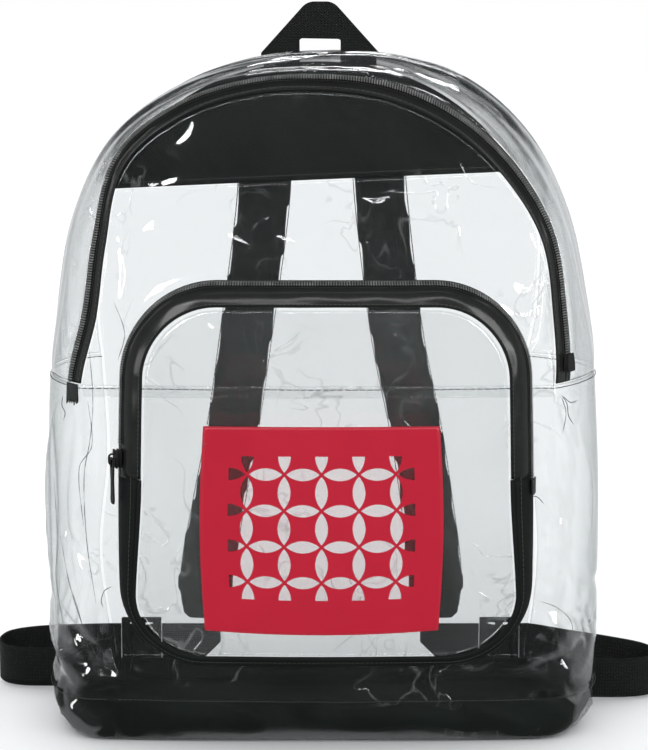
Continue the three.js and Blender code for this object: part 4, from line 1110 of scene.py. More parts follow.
STRAPS = Table(
    "up",
    "out_left out_right behind wide",
    [
        (0.085, 0.47, 0.47, 0.35, 0.72),
        (0.16, 0.45, 0.455, 0.7, 1),
        (0.28, 0.4, 0.42, 1.4, 1),
        (0.4, 0.345, 0.375, 2.0, 1),
        (0.55, 0.292, 0.302, 2.0, 1),
        (0.75, 0.225, 0.24, 1.2, 1),
        (0.87, 0.205, 0.215, 0.05, 0.98),
        (0.945, 0.2, 0.2, -0.6, 0.92),
    ],
)
LOOPS = Table(
    "row",
    "out forward_left forward_right lift",
    [
        (0, 0, 0, 0, 0.26),
        (1, 0.08, 0, 0, 0.26),
        (2, 0.35, 0, 0.36, 0.24),
        (3, 0.7, 0.02, 0.76, 0.2),
        (4, 0.93, 0.16, 1.04, 0.14),
        (5, 1.0, 0.5, 1.34, 0.08),
        (6, 0.93, 0.84, 1.6, 0.03),
        (7, 0.75, 0.98, 1.68, 0.0),
    ],
)


@dataclass(frozen=True)
class BagForm:
    """The bag's named sizes, in millimetres, and the surfaces that follow from them."""

    shift: Point = (-2.328, -2.758, 0.0)
    half_width: float = 166.0
    seam: float = 214.0
    rise: float = 188.0
    front_depth: float = 62.0
    front_crown: float = 10.0
    lean: float = 12.0
    back_depth: float = 68.0
    back_crown: float = 4.0
    zip_band: float = 15.0
    crease_gap: float = 1.1
    seam_gap: float = 0.6
    bevel_top: float = 30.0
    bevel_side: float = 50.0
    yoke: float = 326.0
    yoke_drop: float = 8.5
    yoke_rise: float = 2.5
    base_front: float = 28.0
    base_back: float = 14.0
    base_radius: float = 12.0

    def moved(self, points: Array) -> Array:
        """Points in the row frame, from points about the bag's own middle."""
        return np.asarray(points, float) + np.array(self.shift)

    def front_y(self, x: Array, z: Array) -> Array:
        """The front surface: crowned across, and leaning back above the cross seam."""
        above = np.maximum(0, z - self.seam) / self.rise
        return -self.front_depth - self.front_crown * (1 - (x / self.half_width) ** 2) + self.lean * above**2

    def arch(self, turn: Array, column: str) -> Array:
        """Points of the arch's front edge, belly or back edge."""
        size = ARCH.at(column, turn)
        x = self.half_width * size * np.cos(np.radians(turn))
        z = self.seam + self.rise * size * np.sin(np.radians(turn))
        y = self.front_y(x, z) if column == "front" else 0 * x + self.back_depth
        return np.stack([x, y, z], -1)

    def outward(self, turn: Array) -> Array:
        """Way out of the arch at a turn."""
        x, z = self.half_width * np.cos(np.radians(turn)), self.rise * np.sin(np.radians(turn))
        return unit(np.stack([x, 0 * x, z], -1))

    def rib(
        self,
        back: Array,
        front: Array,
        out: Array,
        belly: Array,
        bevel: Array,
        low: Array,
        high: Array,
        count: int,
    ) -> Array:
        """Points of ribs from the back seam to the front edge.

        Args:
            back: Back ends of the ribs.
            front: Front ends of the ribs.
            out: Way out at each rib.
            belly: How far out the ribs swell.
            bevel: Slope at the front, in degrees.
            low: Length kept clear at the back.
            high: Length kept clear at the front.
            count: Points on each rib.

        Returns:
            Points, ribs by count.
        """
        swell = (8 * belly - 4 * (back * out).sum(-1) - 4 * (front * out).sum(-1)) / 3
        near_back = back + 0.45 * swell[:, None] * out
        near_back[:, 1] -= 0.17 * (back[:, 1] - front[:, 1])
        near_front = front + 0.55 * swell[:, None] * out
        near_front[:, 1] += 0.55 * swell * np.tan(np.radians(bevel))
        t = np.linspace(0, 1, 81)[None, :, None]
        corners = [p[:, None] for p in (back, near_back, near_front, front)]
        weights = ((1 - t) ** 3, 3 * t * (1 - t) ** 2, 3 * t * t * (1 - t), t**3)
        curve = sum(w * p for w, p in zip(weights, corners))
        ribs = []
        for line, start, end in zip(curve, np.broadcast_to(low, len(back)), np.broadcast_to(high, len(back))):
            reach = along(line)
            wanted = np.linspace(start, reach[-1] - end, count)
            ribs.append(np.stack([np.interp(wanted, reach, line[:, i]) for i in range(3)], -1))
        return np.array(ribs)

    def arch_ribs(self, turn: Array, low: float, high: float, count: int) -> Array:
        """Ribs of the top gusset."""
        lift = np.array([0, 0, self.seam])
        out = self.outward(turn)
        belly = ((self.arch(turn, "belly") - lift) * out * [1, 0, 1]).sum(-1)
        bevel = self.bevel_top + (self.bevel_side - self.bevel_top) * np.cos(np.radians(turn)) ** 2
        back, front = self.arch(turn, "back") - lift, self.arch(turn, "front") - lift
        return self.rib(back, front, out, belly, bevel, low, high, count) + lift

    def front_ribs(self, turn: Array, near: float, far: float, count: int) -> Array:
        """Ribs of the zip band, between two lengths from the front edge."""
        lengths = np.array([along(rib)[-1] for rib in self.arch_ribs(turn, 0, 0, 81)])
        lift = np.array([0, 0, self.seam])
        out = self.outward(turn)
        belly = ((self.arch(turn, "belly") - lift) * out * [1, 0, 1]).sum(-1)
        bevel = self.bevel_top + (self.bevel_side - self.bevel_top) * np.cos(np.radians(turn)) ** 2
        back, front = self.arch(turn, "back") - lift, self.arch(turn, "front") - lift
        return self.rib(back, front, out, belly, bevel, lengths - far, near, count) + lift

    def side_ribs(self, side: int, z: Array, count: int) -> Array:
        """Ribs of a side wall below the cross seam, from back to front."""
        up = z / self.seam
        suffix = "_left" if side < 0 else "_right"
        place = {
            name: side * self.half_width * SIDES.at(name + suffix, up) for name in ("front", "belly", "back")
        }
        out = np.stack([0 * z + side, 0 * z, 0 * z], -1)
        back = np.stack([place["back"], 0 * z + self.back_depth, z], -1)
        front = np.stack([place["front"], self.front_y(place["front"], z), z], -1)
        bevel = self.bevel_side * SIDES.at("bevel", up)
        return self.rib(back, front, out, place["belly"] * side, bevel, self.crease_gap, 0, count)

    def lower_rows(self, z: Array, side_count: int, front_count: int) -> Array:
        """Sections of the lower body, from the left back seam round the front to the right one."""
        left = self.side_ribs(-1, z, side_count)
        right = self.side_ribs(1, z, side_count)[:, ::-1]
        across = np.linspace(0, 1, front_count + 2)[1:-1][None]
        x = left[:, -1:, 0] + (right[:, :1, 0] - left[:, -1:, 0]) * across
        heights = np.broadcast_to(z[:, None], x.shape)
        front = np.stack([x, self.front_y(x, heights), heights], -1)
        return np.concatenate([left, front, right], axis=1)

    def folded(self, grid: Array) -> Array:
        """Moves of points of the lower body by its folds, faded out at the cross seam."""
        lift = sum(fold.lift(grid) for fold in LOWER_FOLDS) * ease(0, 5, self.seam - grid[..., 2])
        return lift[..., None] * grid_normals(grid)

    def yoke_turn(self, side: int) -> float:
        """Turn up the arch at which the yoke starts on a side, where its slack foot lies."""
        turns = np.arange(0, 80, 0.25)
        level = self.yoke + (self.yoke_rise if side > 0 else -self.yoke_drop)
        edge = self.arch(180 - turns if side < 0 else turns, "back")
        return float(turns[np.argmax(edge[:, 2] >= level)])

    def base_inset(self, z: Array) -> Array:
        """How far the rounded foot of the body goes in at heights."""
        return self.base_radius * FOOT.at("inset", np.clip(z / self.base_front, 0, 1))

    def back_edge(self, side: int, up: Array) -> Array:
        """The back's edge below the yoke, from the base at 0 to the yoke at 1."""
        share = (self.yoke - self.seam) / (self.yoke - self.base_back)
        yoke_turn = self.yoke_turn(side)
        low = self.base_back + self.seam_gap / 2
        z = low + (self.seam - low) * np.clip(up / (1 - share), 0, 1)
        name = "back_left" if side < 0 else "back_right"
        width = side * self.half_width * SIDES.at(name, z / self.seam)
        below = np.stack([width, 0 * z + self.back_depth, z], -1)
        turn = yoke_turn * np.clip((up - 1 + share) / share, 0, 1)
        above = self.arch(180 - turn if side < 0 else turn, "back")
        edge = np.where((up < 1 - share)[:, None], below, above)
        edge[:, 0] -= side * self.crease_gap
        return edge


@dataclass(frozen=True)
class PocketForm:
    """The front pocket's named sizes and outline."""

    form: BagForm
    centre: float = 3.5
    bottom: float = 50.0
    half_width: float = 116.0
    height: float = 224.5
    top_radius: float = 54.0
    bottom_radius: float = 46.0
    sag: float = 0.035
    proud: float = 18.0
    dome: float = 4.0
    stand_off: float = 1.6
    band_top: float = 14.0
    band_bottom: float = 9.0
    zip_end: float = 162.0
    coil_place: float = 0.3

    def path(self, upper: bool, inset: Callable[[Array], Array], fine: int = 3) -> Array:
        """Half of the outline, from the left split over the top or under the bottom to the right.

        Args:
            upper: Whether it is the upper half.
            inset: How far the outline is drawn in at each height.
            fine: How finely it is cut.

        Returns:
            Points in x and z.
        """
        radius = self.top_radius if upper else self.bottom_radius
        end = self.bottom + self.height if upper else self.bottom
        sign = 1 if upper else -1
        corner_z, corner_x = end - sign * radius, self.half_width - radius
        side = np.linspace(self.zip_end, corner_z, 4 * fine + 1)[:-1]
        angle = np.linspace(0, math.pi / 2, 6 * fine + 1)
        across = np.linspace(corner_x, -corner_x, 5 * fine + 1)[1:-1]
        x = np.concatenate([0 * side + self.half_width, corner_x + radius * np.cos(angle), across])
        z = np.concatenate([side, corner_z + sign * radius * np.sin(angle), 0 * across + end])
        nx = np.concatenate([0 * side + 1, np.cos(angle), 0 * across])
        nz = np.concatenate([0 * side, sign * np.sin(angle), 0 * across + sign])
        mirror = len(side) + len(angle)
        x = np.concatenate([x, -x[:mirror][::-1]])[::-1]
        z = np.concatenate([z, z[:mirror][::-1]])[::-1]
        nx = np.concatenate([nx, -nx[:mirror][::-1]])[::-1]
        nz = np.concatenate([nz, nz[:mirror][::-1]])[::-1]
        drawn = inset(z)
        up = np.clip((z - self.bottom) / self.height, 0, 1)
        sag = 1 + self.sag * np.sin(np.pi * up**0.6)
        return np.stack([self.centre + (x - nx * drawn) * sag, z - nz * drawn], -1)

    def band_width(self, z: Array) -> Array:
        """Width of the edge band at a height."""
        up = ease(self.bottom + self.bottom_radius * 0.3, self.zip_end, z)
        return self.band_bottom + (self.band_top - self.band_bottom) * up

    def band_line(self, upper: bool, across: float, fine: int = 3) -> Array:
        """Points of the edge band at a share of the way from the bag to the pocket's face."""
        profile = Table("across", "inset proud", [(0, 0, 0), (0.3, 0.14, 0.46), (0.6, 0.42, 0.8), (1, 1, 1)])
        inset, proud = float(profile.at("inset", across)), float(profile.at("proud", across))
        stand = self.stand_off + (self.proud - self.stand_off) * proud
        line = self.path(upper, lambda z: self.band_width(z) * inset, fine)
        y = self.form.front_y(line[:, 0], line[:, 1]) - stand
        return np.stack([line[:, 0], y, line[:, 1]], -1)

    def band(self, upper: bool, low: float, high: float, count: int, fine: int = 3) -> Array:
        """Grid of the edge band between two shares of its width."""
        grid = np.array([self.band_line(upper, a, fine) for a in np.linspace(low, high, count)])
        sign = 1 if upper else -1
        grid[:, [0, -1], 2] += sign * 0.06
        return grid

    def face_y(self, x: Array, z: Array) -> Array:
        """The pocket's face, slightly domed."""
        across = (x - self.centre) / self.half_width
        up = (z - self.bottom) / self.height - 0.5
        dome = self.dome * np.maximum(0, 1 - across**2) * np.maximum(0, 1 - 4 * up**2)
        return self.form.front_y(x, z) - self.proud - dome


FORM = BagForm()
POCKET = PocketForm(FORM)


def dressed(
    obj: bpy.types.Object,
    material: bpy.types.Material,
    replaces: Sequence[str] = (),
    body: str = "bag",
) -> bpy.types.Object:
    """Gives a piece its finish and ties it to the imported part.

    Args:
        obj: The piece.
        material: Its finish.
        replaces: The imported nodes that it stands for.
        body: The body that it rides on.

    Returns:
        The piece.
    """
    if not obj.data.materials:
        obj.data.materials.append(material)
    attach(obj, body)
    if replaces:
        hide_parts(*replaces)
    LOG.info(
        "%s: %d faces, stands for %s", obj.name, len(obj.data.polygons), ", ".join(replaces) or "no node"
    )
    return obj


# Vinyl body


@dataclass
class VinylBody:
    """The clear sheets: upper front, lower panel, top gusset and back."""

    form: BagForm
    finishes: Finishes
    wall: float = 0.5
    overlap: float = 7.5
    crumple: float = 2.4
    crumple_size: Point = (19, 19, 14)

    def front_upper(self) -> bpy.types.Object:
        """Clear sheet between the main zip and the cross seam."""
        form = self.form
        turns = np.linspace(179.9, 0.1, 176)
        edge = form.arch(turns, "front") - form.outward(turns) * form.crease_gap
        low = form.seam - self.overlap
        left, right = edge[0, 0], edge[-1, 0]
        foot_x = left + (right - left) * (1 - np.cos(np.radians(180 - turns))) / 2
        share = np.linspace(0, 1, 100)[:, None]
        x = foot_x * (1 - share) + edge[None, :, 0] * share
        z = low * (1 - share) + np.maximum(edge[None, :, 2], low) * share
        z[:, [0, -1]] = np.maximum(z[:, [0, -1]], low + 0.01 * np.arange(100)[:, None])
        behind = 1.3 * (1 - ease(form.seam - 1, form.seam + 9, z))
        grid = np.stack([x, form.front_y(x, z) + behind, z], -1)
        folds = (
            Fold(((-106, -63, 334), (-93, -64, 331), (-80, -65, 335)), 2.27, 3.4, 1.5),
            Fold(((-93, -64, 328), (-76, -66, 317), (-64, -68, 300)), 2.1, 3.0, 1.4),
            Fold(((-98, -66, 306), (-88, -67, 296), (-84, -67, 284)), -2.27, 4.5, 1.6),
            Fold(((-60, -68, 306), (-45, -69, 300), (-30, -69, 292)), 2.1, 2.6, 1.3),
            Fold(((-31, -69, 306), (-21, -69, 301), (-8, -69, 297)), 1.93, 2.4, 1.3),
            Fold(((-56, -69, 288), (-33, -70, 287), (-12, -70, 290)), 0.88, 2.4, 1.5),
            Fold(((-80, -62, 371), (-77, -63, 359), (-86, -63, 351)), 1.57, 2.2, 1.3),
            Fold(((16, -68, 328), (32, -67, 322), (41, -67, 329), (31, -67, 337)), 2.27, 3.2, 1.4),
            Fold(((112, -66, 270), (124, -65, 274), (133, -64, 281)), 2.27, 2.6, 1.3),
            Fold(((101, -67, 264), (115, -67, 256), (131, -65, 266)), 2.1, 2.8, 1.4),
            Fold(((126, -64, 293), (132, -64, 280), (130, -65, 261)), -2.27, 3.2, 1.4),
            Fold(((83, -65, 328), (103, -65, 318), (118, -65, 300)), 1.4, 4.0, 1.6),
            Fold(((55, -68, 299), (74, -67, 306), (99, -66, 301)), 1.22, 3.6, 1.5),
            Fold(((-20, -68, 322), (-3, -68, 316), (20, -68, 319)), 1.22, 3.0, 1.5),
            Fold(((-115, -65, 300), (-110, -66, 280), (-114, -67, 258)), -2.1, 3.4, 1.4),
            Fold(((-105, -67, 260), (-90, -68, 274), (-64, -69, 280)), 1.57, 3.2, 1.5),
            Fold(((112, -66, 232), (122, -66, 240), (130, -65, 252)), 2.1, 2.8, 1.4),
        )
        rumple = Rumple(
            11,
            swell=1.3,
            swell_size=60,
            dent=0.16,
            dent_size=22,
            ridge=0.5,
            ridge_size=46,
            folds=folds,
            edge=8,
        )
        obj = shell("front_upper_sheet", form.moved(rumple.on(grid)), self.wall)
        return dressed(obj, self.finishes.vinyl, ["front_upper_panel"])

    def lower(self) -> bpy.types.Object:
        """Clear sheet round the front and the sides, from the base to the cross seam."""
        form = self.form
        z = np.concatenate(
            [np.linspace(1.0, 28, 22)[:-1], np.linspace(28, form.seam - form.seam_gap / 2, 90)]
        )
        grid = form.lower_rows(z, 66, 130)
        inset = form.base_inset(z)[:, None] / np.hypot(grid[..., 0], grid[..., 1])
        grid[..., :2] *= (1 - inset)[..., None]
        rumple = Rumple(
            23,
            swell=1.7,
            swell_size=64,
            dent=0.25,
            dent_size=24,
            ridge=1.1,
            ridge_size=44,
            stretch=(0.36, 1.0),
            edge=5,
        )
        calm = ease(22, 52, z)[:, None, None]
        creased = grid + (rumple.on(grid) - grid) * calm + form.folded(grid)
        up = grid[..., 2]
        corner = ease(70, 125, np.abs(grid[..., 0])) * (1 - ease(50, 95, up)) * ease(0, 5, up)
        crumple = self.crumple * np.abs(Noise(29).at(grid / np.array(self.crumple_size) + 2.2)) * corner
        creased += crumple[..., None] * grid_normals(grid)
        obj = shell("lower_sheet", form.moved(creased), self.wall)
        return dressed(obj, self.finishes.lower_vinyl, ["lower_panel"])

    def gusset(self) -> bpy.types.Object:
        """Clear sheet over the top, between the main zip and the back seam."""
        form = self.form
        turns = np.linspace(179.9, 0.1, 270)
        grid = form.arch_ribs(turns, form.crease_gap, form.zip_band + form.seam_gap, 88)
        rumple = Rumple(
            37,
            swell=2.2,
            swell_size=44,
            dent=0.5,
            dent_size=22,
            ridge=3.4,
            ridge_size=30,
            stretch=(0.16, 2.1),
            edge=5,
        )
        obj = shell("top_sheet", form.moved(rumple.on(grid)), self.wall)
        return dressed(obj, self.finishes.top_vinyl, ["top_gusset"])

    def back(self) -> bpy.types.Object:
        """Clear back sheet below the yoke."""
        form = self.form
        up = np.linspace(0, 1, 110)
        left, right = form.back_edge(-1, up), form.back_edge(1, up)
        across = np.linspace(0, 1, 100)[None, :, None]
        grid = left[:, None] * (1 - across) + right[:, None] * across
        swell = np.sin(np.pi * across[..., 0]) * np.sin(np.pi / 2 * up)[:, None]
        grid[..., 1] = form.back_depth + form.back_crown * swell
        rumple = Rumple(
            41, swell=-1.2, swell_size=80, dent=0.3, dent_size=30, ridge=-0.4, ridge_size=40, edge=14
        )
        obj = shell("back_sheet", form.moved(rumple.on(grid)), self.wall)
        return dressed(obj, self.finishes.back_vinyl, ["back_panel"])

    def build(self) -> None:
        """Builds every sheet."""
        self.front_upper()
        self.lower()
        self.gusset()
        self.back()


# Fabric body


@dataclass
class FabricBody:
    """The black yoke at the back's top, and the base."""

    form: BagForm
    finishes: Finishes
    wall: float = 1.1
    under: float = 0.9

    def yoke(self) -> bpy.types.Object:
        """Black fabric at the top of the back."""
        form = self.form
        ends = [form.back_edge(side, np.array([1.0]))[0] + [0, 0, form.seam_gap] for side in (-1, 1)]
        turn = np.linspace(180 - form.yoke_turn(-1) - 0.5, form.yoke_turn(1) + 0.5, 90)
        edge = form.arch(turn, "back") - form.outward(turn) * form.crease_gap
        across = np.linspace(0, 1, 90)[:, None]
        foot = ends[0] * (1 - across) + ends[1] * across
        up = np.linspace(0, 1, 34)[:, None, None]
        grid = foot[None] * (1 - up) + edge[None] * up
        crown = form.back_crown * np.sin(np.pi * across[:, 0])[None]
        grid[..., 1] = form.back_depth + crown * (1 - up[..., 0])
        rumple = Rumple(53, swell=-0.7, swell_size=50, dent=0.25, dent_size=18, edge=8)
        obj = shell("yoke_fabric", form.moved(rumple.on(grid)), self.wall)
        return dressed(obj, self.finishes.fabric, ["back_yoke"])

    def base(self) -> bpy.types.Object:
        """Black base, turned up round the front and the sides, under clear vinyl outside."""
        form = self.form
        guide = self.outline(np.array([form.base_front]))[0]
        rear = ease(0.25 * form.back_depth, 0.96 * form.back_depth, guide[:, 1])
        height = form.base_front + (form.base_back - form.base_front) * rear - form.seam_gap / 2
        rings = []
        for up in 1 - np.linspace(0, 1, 15) ** 0.8:
            ring = self.outline(np.array([form.base_front * up]))[0]
            reach = np.hypot(ring[:, 0], ring[:, 1])
            inset = float(form.base_inset(form.base_front * up)) + self.under
            scale = 1 - inset / reach
            ring = ring * scale[:, None]
            ring[:, 2] = height * up + 0.6
            rings.append(ring)
        for size in (0.8, 0.55, 0.3, 0.1, 0.0):
            flat = rings[14] * [size, size, 0]
            flat[:, 2] = 0.6
            rings.append(flat)
        grid = np.array(rings)
        grid[0, :, 2] -= 0.6
        fade = ease(0, 6, height[None] - grid[..., 2]) * ease(1.5, 8, grid[..., 2])
        noise = Noise(61)
        lift = 0.5 * noise.at(grid / [38, 38, 20] + 5.5)
        out = unit(grid * [1, 1, 0] + [0, 0, 1e-6])
        sunk = sum(fold.lift(grid[:15]) for fold in LOWER_FOLDS) * ease(0, 6, grid[:15, :, 2])
        grid = grid - out * (np.abs(lift) * fade)[..., None]
        grid[:15] += out[:15] * sunk[..., None]
        obj = shell("base_fabric", form.moved(grid), self.wall, looped=True)
        return dressed(obj, self.finishes.base, ["base_tray"])

    def outline(self, z: Array) -> Array:
        """Closed outlines of the body at heights."""
        form = self.form
        section = form.lower_rows(z, 34, 80)
        across = np.linspace(0, 1, 62)[1:-1][None]
        x = section[:, -1:, 0] + (section[:, :1, 0] - section[:, -1:, 0]) * across
        back = np.stack([x, 0 * x + form.back_depth, np.broadcast_to(z[:, None], x.shape)], -1)
        return np.concatenate([section, back], axis=1)

    def build(self) -> None:
        """Builds both."""
        self.yoke()
        self.base()


# Zips


@dataclass(frozen=True)
class Track:
    """A path on a surface: its points, the way across it and the way out."""

    points: Array
    side: Array
    out: Array

    @classmethod
    def between(cls, first: Array, second: Array, away: Array) -> "Track":
        """Track midway between two lines on a surface.

        Args:
            first: Points of one line.
            second: Points of the other line.
            away: Rough way out at each point.

        Returns:
            The track.
        """
        points, side = (first + second) / 2, unit(second - first)
        out = unit(np.cross(side, unit(np.gradient(points, axis=0))))
        turned = np.where((out * away).sum(-1, keepdims=True) < 0, -out, out)
        return cls(points, side, turned)

    def raised(self, height: float, over: float = 0.0) -> "Track":
        """The track moved out, and over along its side."""
        return Track(self.points + self.out * height + self.side * over, self.side, self.out)

    def part(self, keep: Array) -> "Track":
        """The track's points that are kept."""
        return Track(self.points[keep], self.side[keep], self.out[keep])


@dataclass
class Sewing:
    """Rows of stitches and zip teeth, set along tracks."""

    form: BagForm
    finishes: Finishes
    stitch: PathRepeater = field(default_factory=lambda: PathRepeater(Repeat.STITCH))
    tooth: PathRepeater = field(default_factory=lambda: PathRepeater(Repeat.TOOTH))

    def row(
        self,
        name: str,
        track: Track,
        seed: int,
        pitch: float = 3.0,
        share: float = 0.72,
        thick: float = 0.5,
    ) -> None:
        """A row of stitches.

        Args:
            name: Name of the row.
            track: Where it runs.
            seed: Seed of its unevenness.
            pitch: Length of a stitch with its gap.
            share: Share of the pitch that the thread covers.
            thick: Thickness of the thread.
        """
        obj = self.stitch.along_path(
            name,
            self.form.moved(track.points),
            track.out,
            self.finishes.thread,
            seed,
            pitch=pitch,
            length=pitch * share,
            width=thick,
            height=thick * 0.8,
            uneven=0.09,
        )
        dressed(obj, self.finishes.thread)

    def teeth(self, name: str, track: Track, replaces: str, seed: int) -> None:
        """A zip's teeth on their low ridge, with a row of thread on each side.

        Args:
            name: Name of the teeth.
            track: Middle of the zip, on the tape's face.
            replaces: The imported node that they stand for.
            seed: Seed of their unevenness.
        """
        ridge = [
            (-1.9, 0.0),
            (-1.5, 0.75),
            (-0.35, 1.05),
            (0.0, 0.7),
            (0.35, 1.05),
            (1.5, 0.75),
            (1.9, 0.0),
            (0.0, -0.15),
        ]
        core = sweep(name + "_ridge", self.form.moved(track.points), track.side, track.out, ridge)
        dressed(core, self.finishes.plastic, [replaces])
        for number, over in enumerate((-0.95, 0.95)):
            line = track.raised(0.8, over)
            obj = self.tooth.along_path(
                f"{name}_{number}",
                self.form.moved(line.points),
                line.out,
                self.finishes.teeth,
                seed + number,
                pitch=1.5,
                length=0.8,
                width=2.1,
                height=0.95,
                slant=0.12 if number else -0.12,
            )
            dressed(obj, self.finishes.teeth)
        for number, over in enumerate((-3.0, 3.0)):
            self.row(f"{name}_thread_{number}", track.raised(0.1, over), seed + 5 + number, 1.9, 0.6, 0.42)


@dataclass
class Slider:
    """A zip slider: a wedge-shaped body with rounded edges, and a bail where it has a pull."""

    length: float = 11.0
    width: float = 8.4
    height: float = 3.4
    bail_width: float = 1.8
    bail_wall: float = 1.2
    window: tuple[float, float] = (5.0, 2.8)

    def build(self, name: str, at: Array, side: Array, out: Array, bail: bool) -> bpy.types.Object:
        """Builds the slider.

        Args:
            name: Name of the piece.
            at: Middle of its foot.
            side: Way across it.
            out: Way out of it.
            bail: Whether it has a bail.

        Returns:
            The object.
        """
        run = np.cross(out, side)
        half, wide = self.length / 2, self.width / 2
        outline = [
            (-0.7 * wide, -half),
            (0.7 * wide, -half),
            (wide, 0.2 * half),
            (wide, half),
            (-wide, half),
            (-wide, 0.2 * half),
        ]
        levels = [(0.0, 0.96), (0.28, 1.0), (0.36, 0.78), (0.62, 0.78), (0.7, 1.0), (0.94, 0.96), (1.0, 0.84)]
        points = [
            at + side * (u * inset) + run * (v * inset) + out * (self.height * level)
            for level, inset in levels
            for u, v in outline
        ]
        faces = quads(len(levels), 6, True)[:, ::-1].tolist()
        faces += [list(range(6)), [6 * (len(levels) - 1) + i for i in range(6)][::-1]]
        body = make_object(name, np.array(points), faces)
        self.turn_outward(body)
        softened(body, 0.35)
        if bail:
            self.add_bail(body, at + out * (self.height - 0.05), side, run, out)
        return body

    def add_bail(self, body: bpy.types.Object, foot: Array, side: Array, run: Array, out: Array) -> None:
        """Adds the bail as a bent bar over a window.

        Args:
            body: The slider's body.
            foot: Middle of the bail's foot.
            side: Way across the slider.
            run: Way along it.
            out: Way out of it.
        """
        length, height = self.window[0] + self.bail_wall, self.window[1] + self.bail_wall / 2
        angle = np.linspace(0, math.pi, 17)
        reach = np.sign(np.cos(angle)) * np.abs(np.cos(angle)) ** 0.55 * length / 2
        rise = np.sin(angle) ** 0.55 * height
        path = foot + run * reach[:, None] + out * rise[:, None]
        normal = unit(np.cross(np.gradient(path, axis=0), side))
        turn = np.linspace(0, 2 * math.pi, 9)[:-1]
        profile = [(self.bail_width / 2 * np.cos(t), self.bail_wall / 2 * np.sin(t)) for t in turn]
        bar = sweep(body.name + "_bail", path, np.tile(side, (17, 1)), normal, profile)
        self.turn_outward(bar)
        merge(body, bar)

    @staticmethod
    def turn_outward(obj: bpy.types.Object) -> None:
        """Turns a closed solid's faces outward."""
        work = bmesh.new()
        work.from_mesh(obj.data)
        bmesh.ops.recalc_face_normals(work, faces=work.faces)
        work.to_mesh(obj.data)
        work.free()


def merge(first: bpy.types.Object, *others: bpy.types.Object) -> bpy.types.Object:
    """Joins other pieces' meshes to the first piece's, and removes them."""
    work = bmesh.new()
    for obj in (first, *others):
        work.from_mesh(obj.data)
    work.to_mesh(first.data)
    work.free()
    for obj in others:
        bpy.data.objects.remove(obj)
    return first


@dataclass
class MainZip:
    """The zip round the top: tapes, teeth, slider, raw end and the stitches that hold it."""

    form: BagForm
    finishes: Finishes
    sewing: Sewing
    tape_wall: float = 0.9
    coil_at: float = 9.6
    tail: float = 9.0

    def tape(self, name: str, near: float, far: float, node: str, seed: int) -> None:
        """One half of the tape.

        Args:
            name: Name of the piece.
            near: Its near edge's length from the front edge.
            far: Its far edge's length from there.
            node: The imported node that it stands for.
            seed: Seed of its unevenness.
        """
        turns = np.linspace(179.9, 0.1, 220)
        grid = self.form.front_ribs(turns, near, far, 7)
        rumple = Rumple(seed, swell=0.5, swell_size=26, dent=0.12, dent_size=9, edge=1.5)
        obj = shell(name, self.form.moved(rumple.on(grid)), self.tape_wall)
        dressed(obj, self.finishes.tape, [node])

    def track(self, length: float, turns: Array) -> Track:
        """Track along the zip at a length from the front edge."""
        lines = self.form.front_ribs(turns, length - 0.6, length + 0.6, 2)
        return Track.between(lines[:, 0], lines[:, 1], self.form.outward(turns))

    def build(self) -> None:
        """Builds the zip."""
        form = self.form
        self.tape(
            "main_tape_front",
            form.crease_gap / 3,
            self.coil_at - form.seam_gap / 2,
            "main_zip_tape_front",
            71,
        )
        self.tape(
            "main_tape_top", self.coil_at + form.seam_gap / 2, form.zip_band, "main_zip_tape_gusset", 73
        )
        low = math.degrees(math.asin(15 / (form.rise * 0.819)))
        coil = self.track(self.coil_at, np.linspace(179.8, low, 240)).raised(self.tape_wall / 2 + 0.45)
        self.sewing.teeth("main_teeth", coil, "main_zip_coil", 81)
        place = self.track(self.coil_at, np.linspace(5.5, 2.9, 3)).raised(self.tape_wall / 2 + 0.7)
        at, side, out = form.moved(place.points[1]), place.side[1], place.out[1]
        slider = Slider().build("main_slider", at, side, out, False)
        dressed(slider, self.finishes.plastic, ["main_zip_slider"])
        turns = np.linspace(179.0, 1.0, 240)
        self.sewing.row("main_zip_stitches_top", self.track(form.zip_band - 1.2, turns).raised(0.6), 91, 3.1)
        self.sewing.row("main_zip_stitches_front", self.track(1.9, turns).raised(0.6), 93, 3.1)
        self.raw_end()

    def raw_end(self) -> None:
        """The zip's raw end that hangs below the cross seam on the left, with loose threads."""
        form = self.form
        down = np.linspace(0, 1, 12)
        draw = np.random.default_rng(5)
        strand = np.where(np.arange(22) % 2, 0.0, 1.0)
        fray = strand * draw.uniform(0.4, 1.6, 22) + draw.uniform(-0.6, 0.6, 22)
        rows = []
        for share in down:
            z = form.seam - 0.3 - share * (self.tail + 0.7)
            rib = form.side_ribs(-1, np.array([z]), 81)[0]
            back = along(rib[::-1])
            wanted = np.linspace(form.zip_band * 0.9, 1.5, 22)
            row = np.stack([np.interp(wanted, back, rib[::-1, i]) for i in range(3)], -1)
            row[:, 2] -= share**4 * fray * 1.6
            rows.append(row)
        grid = np.array(rows)
        out = grid_normals(grid)
        out = np.where(out[..., 1:2] > 0, -out, out)
        obj = shell("main_zip_raw_end", form.moved(grid + out * 1.35), self.tape_wall * 0.8)
        dressed(obj, self.finishes.tape, ["main_zip_tail"])


# Front pocket


